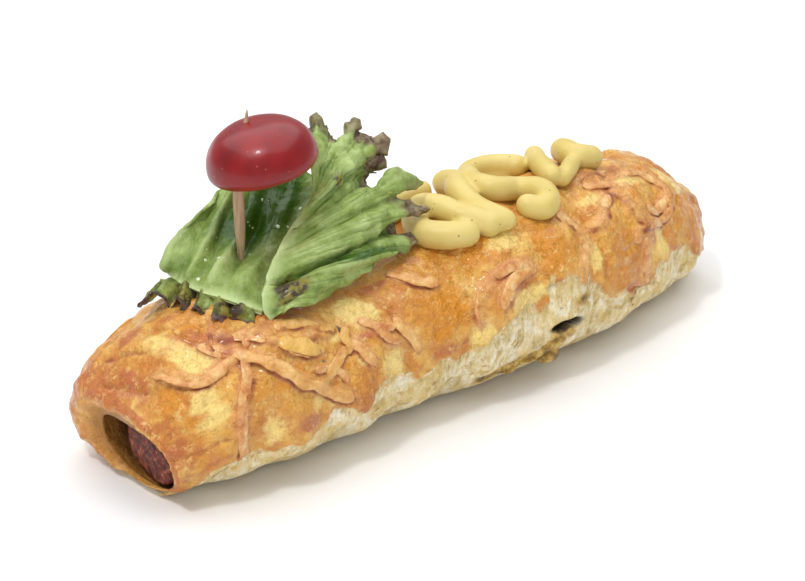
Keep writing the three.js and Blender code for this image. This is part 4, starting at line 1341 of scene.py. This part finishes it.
FRILL_LOOKS = {
    "pleats": [
        (0.06, 0.04, 0.03, 1.4), (0.15, 0.14, 0.03, -1.2), (0.24, 0.24, 0.03, 1.8), (0.33, 0.33, 0.03, -1.4),
        (0.42, 0.43, 0.03, 2.0), (0.52, 0.52, 0.03, -1.2), (0.61, 0.62, 0.03, 1.8), (0.71, 0.7, 0.03, -1.2),
        (0.8, 0.8, 0.03, 1.6), (0.9, 0.9, 0.03, -1.0),
    ],
    "crinkle": [(0, 1.2), (0.2, 2.0), (1, 2.2)],
    "brown": [(0, 0.9), (0.2, 0.9), (0.3, 1.2), (0.5, 0.9), (0.6, 0.5), (0.7, 0.9), (0.9, 0.8), (1, 0.6)],
    "deep": [],
    "stain": [(0.34, 0.4, 0.11, 0.9, 2.4), (0.6, 0.9, 0.05, 0.3, 1.4), (0.8, 0.4, 0.09, 0.8, 2.0)],
    "drops": [],
    "rib": 0.02,
    "rib_thick": 0,
}


def leaf_grid(rows, columns, layers):
    """A smooth sheet through rows of points; the first axis runs along the rows."""
    along = np.array([smooth_path(row, columns) for row in rows])
    return np.array([smooth_path(along[:, i], layers) for i in range(columns)])


def softened(points, reach):
    """Each point becomes the middle of its neighbours on both sides."""
    soft = np.empty_like(points)
    for i in range(len(points)):
        near = min(reach, i, len(points) - 1 - i)
        soft[i] = points[i - near : i + near + 1].mean(axis=0)
    return soft


def torn_grid(rib, rim, swollen, columns, layers):
    """A sheet from a rib to a torn rim, whose tips only show near the rim."""
    rib, rim = evenly(rib, columns), evenly(rim, columns)
    soft = softened(rim, RIM_REACH)
    v = np.linspace(0, 1, layers)[None, :, None]
    grid = lerp(rib[:, None], soft[:, None], v) + 1.25 * (rim - soft)[:, None] * smoothstep(v, 0.72, 1)
    return grid + np.array(swollen) * np.sin(math.pi * v)


def leaf_spots(u, v, spots):
    total = 0
    for at, out, along, across, strength in spots:
        total = total + strength * bump_at(u, at, along) * bump_at(v, out, across)
    return np.clip(total, 0, 1)


def along_leaf(u, stops):
    return np.interp(u[:, 0], *zip(*stops))[:, None]


def leaf_relief(u, v, grid, looks, seed):
    """Height of a leaf's folds, pleats and crinkles over its smooth sheet."""
    long, wide = path_length(grid[:, -1]), path_length(grid[len(grid) // 2])
    strips = np.stack(np.broadcast_arrays(u * long, v * wide * 0.3, 0.0), -1)
    wander = 0.03 * fractal(grid, 12, seed, 2)
    crinkle = along_leaf(u, looks["crinkle"])
    height = 0.9 * fractal(strips, 6, seed + 1, 3) * smoothstep(v, 0.03, 0.3)
    for foot, rim, reach, deep in looks["pleats"]:
        pleat = bump_at(u + wander, lerp(foot, rim, v), reach)
        height = height + deep * pleat * smoothstep(v, 0, 0.12)
    height = height + crinkle * fractal(grid, 5.5, seed + 3, 4) * smoothstep(v, 0.2, 0.75)
    ruffle = 0.55 * crinkle * fractal(strips * (1, 0.5, 1), 3.4, seed + 9, 2)
    return height + ruffle * smoothstep(v, 0.78, 1)


def torn_rim(u, v, grid, looks, seed):
    """Pushes the rim of a leaf out into teeth, longest where it is brown."""
    outward = np.gradient(grid, axis=1)
    outward /= np.maximum(np.linalg.norm(outward, axis=-1, keepdims=True), 1e-6)
    jag = (0.35 + 0.35 * along_leaf(u, looks["crinkle"])) * fractal(grid[:, -1:], 2.4, seed + 5, 3)
    teeth = np.clip(1 - 3.5 * np.abs(fractal(grid[:, -1:], 5.0, seed + 15, 2)), 0, 1) ** 1.5
    reach = jag + TOOTH * along_leaf(u, looks["brown"]) * teeth
    return grid + outward * (reach * smoothstep(v, 0.85, 1))[..., None]


def leaf_marks(u, v, grid, height, looks, seed):
    """What each point of a leaf tells its finish, and where water drops lie."""
    rim_line = 0.9 + 0.07 * fractal(grid, 5, seed + 6, 2)
    # Painted highlight: the crests of high pleats are made paler
    ridge_highlights = 0.5 * smoothstep(height, 0.7, 2.0) * (1 - smoothstep(v, 0.6, 0.9))
    return {
        "rib": bump_at(v, 0, looks["rib"]) + ridge_highlights,
        "tip": along_leaf(u, looks["brown"]) * smoothstep(v, rim_line - 0.07, rim_line + 0.05),
        # Deep green spots, and painted shade in the low pleat valleys
        "deep": np.maximum(leaf_spots(u, v, looks["deep"]), 0.5 * (1 - smoothstep(height, -2.4, -0.4))),
        "stain": leaf_spots(u, v, looks["stain"]) * (1 + 0.5 * fractal(grid, 2.5, seed + 8, 2)),
        "scatter": leaf_spots(u, v, looks["drops"]),
    }


def make_leaf(name, grid, looks, finish, seed):
    """A thin leaf through a grid, with pleats, crinkles, a torn rim and spots."""
    columns, layers = grid.shape[:2]
    u = np.linspace(0, 1, columns)[:, None]
    v = np.linspace(0, 1, layers)[None, :]
    height = leaf_relief(u, v, grid, looks, seed)
    grid = grid + grid_normals(grid, False, False) * height[..., None]
    grid = torn_rim(u, v, grid, looks, seed)
    marks = leaf_marks(u, v, grid, height, looks, seed)
    thick = LEAF_THICK - THIN_RIM * smoothstep(v, 0.7, 1) + looks["rib_thick"] * bump_at(v, 0, looks["rib"])
    return sheet_piece(name, grid, (thick * np.ones_like(u))[..., None], finish, marks)


def sheet_piece(name, grid, thick, finish, marks):
    """Two copies of a grid a thickness apart, closed round their edge."""
    normals = grid_normals(grid, False, False)
    columns, layers = grid.shape[:2]
    top = (grid + normals * thick / 2).reshape(-1, 3)
    low = (grid - normals * thick / 2).reshape(-1, 3)
    count = len(top)
    face = grid_faces(columns, layers)
    faces = [tuple(f) for f in face] + [tuple(f[::-1] + count) for f in face]
    edge = [i * layers for i in range(columns - 1)]
    edge += [(columns - 1) * layers + j for j in range(layers - 1)]
    edge += [i * layers + layers - 1 for i in range(columns - 1, 0, -1)]
    edge += list(range(layers - 1, 0, -1))
    for i, a in enumerate(edge):
        b = edge[(i + 1) % len(edge)]
        faces.append((b, a, a + count, b + count))
    points = np.vstack([top, low])
    if enclosed(points, np.array(faces)) < 0:
        faces = [f[::-1] for f in faces]
    both = {}
    for key, value in marks.items():
        both[key] = np.concatenate([np.broadcast_to(value, (columns, layers)).ravel()] * 2)
    return mesh_piece(name, points, faces, finish, both)


# Grains scattered over a surface by Geometry Nodes: how many on a square metre, and their sizes
GRAIN_SIZES = ("Density", "Smallest", "Largest", "Long", "Thin", "Ragged")
FLAKES = {
    "Density": 90000.0, "Smallest": 0.4 * MM, "Largest": 1.1 * MM, "Long": 1.5, "Thin": 0.22,
    "Ragged": 0.6 * MM, "Seed": 5,
}
DROPS = {
    "Density": 42000.0, "Smallest": 0.12 * MM, "Largest": 0.6 * MM, "Long": 1.1, "Thin": 0.6,
    "Ragged": 0.0, "Seed": 8,
}


def node_adder(tree):
    """A function that adds a node to a tree, fills its sockets and gives its outputs."""
    def add(kind, sockets=None, settings=None):
        made = tree.nodes.new(kind)
        for key, value in (settings or {}).items():
            setattr(made, key, value)
        for key, value in (sockets or {}).items():
            if isinstance(value, bpy.types.NodeSocket):
                tree.links.new(value, made.inputs[key])
            else:
                made.inputs[key].default_value = value
        return made.outputs

    return add


def scatter_tree():
    """Grains on the faces of a mesh, as dense as its mark scatter says."""
    tree = bpy.data.node_groups.new("Scattered grains", "GeometryNodeTree")
    sizes = dict.fromkeys(GRAIN_SIZES, "Float")
    kinds = {"Geometry": "Geometry", **sizes, "Seed": "Int", "Material": "Material"}
    for label, kind in kinds.items():
        tree.interface.new_socket(label, in_out="INPUT", socket_type="NodeSocket" + kind)
    tree.interface.new_socket("Geometry", in_out="OUTPUT", socket_type="NodeSocketGeometry")
    add = node_adder(tree)
    given = add("NodeGroupInput")
    seed = given["Seed"]
    mark = add("GeometryNodeInputNamedAttribute", {"Name": "scatter"}, {"data_type": "FLOAT"})[0]
    density = add("ShaderNodeMath", {0: mark, 1: given["Density"]}, {"operation": "MULTIPLY"})[0]
    spots = add("GeometryNodeDistributePointsOnFaces", {"Mesh": given[0], "Density": density, "Seed": seed})
    ball = add("GeometryNodeMeshIcoSphere", {"Radius": 1.0, "Subdivisions": 3})["Mesh"]
    shape = add("ShaderNodeCombineXYZ", {"X": given["Long"], "Y": 1.0, "Z": given["Thin"]})[0]
    grain = add("GeometryNodeTransform", {"Geometry": ball, "Scale": shape})[0]
    spin = add("FunctionNodeRandomValue", {"Min": (-0.4, -0.4, 0), "Max": (0.4, 0.4, 6.28), "Seed": seed},
               {"data_type": "FLOAT_VECTOR"})[0]
    turn = add("FunctionNodeEulerToRotation", {0: spin})[0]
    spun = add("FunctionNodeRotateRotation", {0: spots["Rotation"], 1: turn}, {"rotation_space": "LOCAL"})[0]
    size = add("FunctionNodeRandomValue", {"Min": given["Smallest"], "Max": given["Largest"], "Seed": seed},
               {"data_type": "FLOAT"})
    size = next(output for output in size if output.enabled)
    grains = add("GeometryNodeInstanceOnPoints", {
        "Points": spots["Points"], "Instance": grain, "Rotation": spun, "Scale": size})[0]
    real = add("GeometryNodeRealizeInstances", {"Geometry": grains})[0]
    noise = add("ShaderNodeTexNoise", {"Scale": 0.9 / MM, "Detail": 2.0})["Color"]
    middle = add("ShaderNodeVectorMath", {0: noise, 1: (0.5, 0.5, 0.5)}, {"operation": "SUBTRACT"})[0]
    push = add("ShaderNodeVectorMath", {0: middle, "Scale": given["Ragged"]}, {"operation": "SCALE"})[0]
    ragged = add("GeometryNodeSetPosition", {"Geometry": real, "Offset": push})[0]
    coloured = add("GeometryNodeSetMaterial", {"Geometry": ragged, "Material": given["Material"]})[0]
    add("NodeGroupOutput", {0: coloured})
    return tree


def scattered(name, source, tree, sizes):
    """A mesh of grains over a source piece; sizes are the named inputs of the tree."""
    piece = bpy.data.objects.new(name, source.data)
    bpy.context.scene.collection.objects.link(piece)
    modifier = piece.modifiers.new("Scatter", "NODES")
    modifier.node_group = tree
    for item in tree.interface.items_tree:
        if item.in_out == "INPUT" and item.name in sizes:
            modifier[item.identifier] = sizes[item.name]
    graph = bpy.context.evaluated_depsgraph_get()
    mesh = bpy.data.meshes.new_from_object(piece.evaluated_get(graph), depsgraph=graph)
    piece.modifiers.clear()
    piece.data = mesh
    mesh.name = name
    mesh.polygons.foreach_set("use_smooth", [True] * len(mesh.polygons))
    return piece


def flake_finish():
    paint = Paint("Pastry flakes")
    tone = paint.noise(paint.place(), 3, 3)
    colour = paint.ramp(tone, [(0.4, srgb(206, 172, 104)), (0.6, srgb(232, 216, 176))])
    return paint.finish({"Base Color": colour, "Roughness": 0.5 + 0.2 * tone})


def drop_finish():
    paint = Paint("Water drops")
    tone = paint.noise(paint.place(), 6, 2)
    # Painted highlight: the drops' near white colour stands for their bright glints
    colour = paint.ramp(tone, [(0.3, srgb(190, 214, 150)), (0.7, srgb(226, 238, 206))])
    return paint.finish({
        "Base Color": colour,
        "Roughness": 0.05 + 0.04 * tone,
        "Coat Weight": 1.0,
        "Coat Roughness": 0.03,
    })


# Tomato and stick
TOMATO = {"at": (-51.2, 4.2, 80.4), "radius": 15.1, "high": 10.9, "cut": 12.3, "under": 2.9, "lean": 12}
STICK = [
    (-56.8, 8, 40.5, 0.25), (-56.8, 8, 51, 0.8), (-56.8, 8, 61, 1.45), (-56.8, 8, 72, 1.5),
    (-55.6, 8, 83, 1.3), (-53.6, 8, 90, 0.75), (-53, 8, 94, 0.2),
]


def turned(points, about_x, about_y):
    """Points turned about Y and then about X."""
    cos_y, sin_y = math.cos(about_y), math.sin(about_y)
    cos_x, sin_x = math.cos(about_x), math.sin(about_x)
    x = points[..., 0] * cos_y + points[..., 2] * sin_y
    z = points[..., 2] * cos_y - points[..., 0] * sin_y
    y = points[..., 1] * cos_x - z * sin_x
    return np.stack([x, y, points[..., 1] * sin_x + z * cos_x], -1)


def make_tomato(finish):
    radius, high, cut, under = TOMATO["radius"], TOMATO["high"], TOMATO["cut"], TOMATO["under"]
    face = [(share * cut, -under - 0.4 * (1 - share)) for share in np.linspace(0.03, 0.98, 14)]
    turned_in = np.radians(np.linspace(8, 84, 14))
    rim = list(zip(cut + (radius - cut) * np.sin(turned_in), -under * np.cos(turned_in)))
    rise = np.radians(np.linspace(3, 88, 40))
    dome = list(zip(radius * np.cos(rise) ** 0.7, high * np.sin(rise)))
    profile = np.array(face + rim + dome)
    turn = turns(128)
    rings = np.stack([profile[:, :1] * np.cos(turn), profile[:, :1] * np.sin(turn),
                      np.repeat(profile[:, 1:], len(turn), 1)], -1)
    rings = rings * (1 + 0.012 * fractal(rings, 9, 81, 2)[..., None])
    flesh = np.repeat((np.arange(len(profile)) < len(face))[:, None], len(turn), 1).astype(float)
    lean = math.radians(TOMATO["lean"])
    rings = turned(rings, -0.65 * lean, -0.75 * lean) + TOMATO["at"]
    return closed_grid("tomato_half", rings, finish, {"cut": flesh})


def make_stick(finish):
    path = smooth_path(STICK, 60)
    middle, radii = path[:, :3], path[:, 3]
    turn = turns(20)
    flat = np.stack([np.cos(turn), np.sin(turn), np.zeros_like(turn)], -1)
    rings = middle[:, None, :] + radii[:, None, None] * flat[None]
    return closed_grid("wooden_stick", rings, finish)


# Studio: lamps by name, place and size in metres, power, and whether they are mirrored
LAMPS = [
    ("Overhead softbox", (0.12, 0.2, 1.0), 1.9, 16, True),
    ("Front fill", (-1.2, -1.2, 0.7), 1.2, 5.5, False),
    ("Glint lamp", (-0.5, -0.1, 1.0), 0.12, 3.2, True),
]
DAYLIGHT = 0.4
FLOOR_REACH = 3000


def make_camera():
    azimuth, elevation = math.radians(AZIMUTH), math.radians(ELEVATION)
    back = Vector((math.sin(azimuth) * math.cos(elevation),
                   -math.cos(azimuth) * math.cos(elevation), math.sin(elevation)))
    data = bpy.data.cameras.new("Camera")
    data.sensor_width = SENSOR
    data.lens = FOCAL_PIXELS / PICTURE[0] * SENSOR
    data.shift_x = (PICTURE[0] / 2 - TARGET_PIXEL[0]) / PICTURE[0]
    data.shift_y = (TARGET_PIXEL[1] - PICTURE[1] / 2) / PICTURE[0]
    data.clip_start, data.clip_end = 0.01, 20
    camera = bpy.data.objects.new("Camera", data)
    camera.location = (Vector(LOOK_AT) + back * DISTANCE) * MM
    camera.rotation_euler = back.to_track_quat("Z", "Y").to_euler()
    bpy.context.scene.collection.objects.link(camera)
    bpy.context.scene.camera = camera


def make_light(name, place, size, power, mirrored):
    """A soft square lamp that faces the middle of the roll; one that isn't mirrored gives no glints."""
    data = bpy.data.lights.new(name, "AREA")
    data.shape = "SQUARE"
    data.size = size
    data.energy = power
    lamp = bpy.data.objects.new(name, data)
    lamp.location = place
    lamp.visible_glossy = mirrored
    lamp.rotation_euler = Vector(place).to_track_quat("Z", "Y").to_euler()
    bpy.context.scene.collection.objects.link(lamp)


def make_studio():
    world = bpy.data.worlds.new("Studio")
    world.use_nodes = True
    background = world.node_tree.nodes["Background"]
    background.inputs["Color"].default_value = (1, 1, 1, 1)
    background.inputs["Strength"].default_value = DAYLIGHT
    bpy.context.scene.world = world
    for name, place, size, power, mirrored in LAMPS:
        make_light(name, place, size, power, mirrored)
    bpy.context.scene.view_settings.view_transform = "Standard"


def make_floor():
    floor = Paint("Pale floor")
    tone = floor.noise(floor.place(), 60, 2)
    colour = floor.ramp(tone, [(0.3, (0.86, 0.86, 0.86, 1)), (0.7, (0.9, 0.9, 0.9, 1))])
    floor.finish({"Base Color": colour, "Roughness": 0.8})
    reach = FLOOR_REACH
    corners = [(-reach, -reach, 0), (reach, -reach, 0), (reach, reach, 0), (-reach, reach, 0)]
    mesh_piece("floor", corners, [(0, 1, 2, 3)], floor.material)


make_camera()
make_studio()
make_floor()

grains = scatter_tree()
pastry_finish = crust_finish()
crust = make_crust(pastry_finish)
flakes = scattered("pastry_flakes", crust, grains, {**FLAKES, "Material": flake_finish()})
settle(crust, "crust", "pastry")
settle(flakes, "crust", "pastry")
settle(make_torn_flake(pastry_finish), "crust", "pastry")
settle(make_drips(pastry_finish), "crust", "pastry")
settle(make_shreds(cheese_finish()), "crust", "pastry")
settle(make_sausage(sausage_finish()), "sausage", "filling")
settle(make_sauce(sauce_finish()), "sauce", "sauce")

leaf_finish = lettuce_finish()
fold_grid = torn_grid(FOLD_RIB, FOLD_RIM, FOLD_SWELL, 300, 120)
fold = make_leaf("lettuce_fold_leaf", fold_grid, FOLD_LOOKS, leaf_finish, 91)
cup = make_leaf("lettuce_cup_leaf", leaf_grid(CUP_ROWS, 220, 110), CUP_LOOKS, leaf_finish, 192)
drops = scattered("water_drops", cup, grains, {**DROPS, "Material": drop_finish()})
frill = make_leaf("lettuce_frill_leaf", leaf_grid(FRILL_ROWS, 260, 40), FRILL_LOOKS, frill_finish(), 93)
settle(fold, "lettuce", "lettuce_fold")
settle(cup, "lettuce", "lettuce_cup")
settle(drops, "lettuce", "lettuce_cup")
settle(frill, "lettuce_edge", "lettuce_frill")
settle(make_tomato(tomato_finish()), "tomato", "tomato")
settle(make_stick(wood_finish()), "wood", "stick")
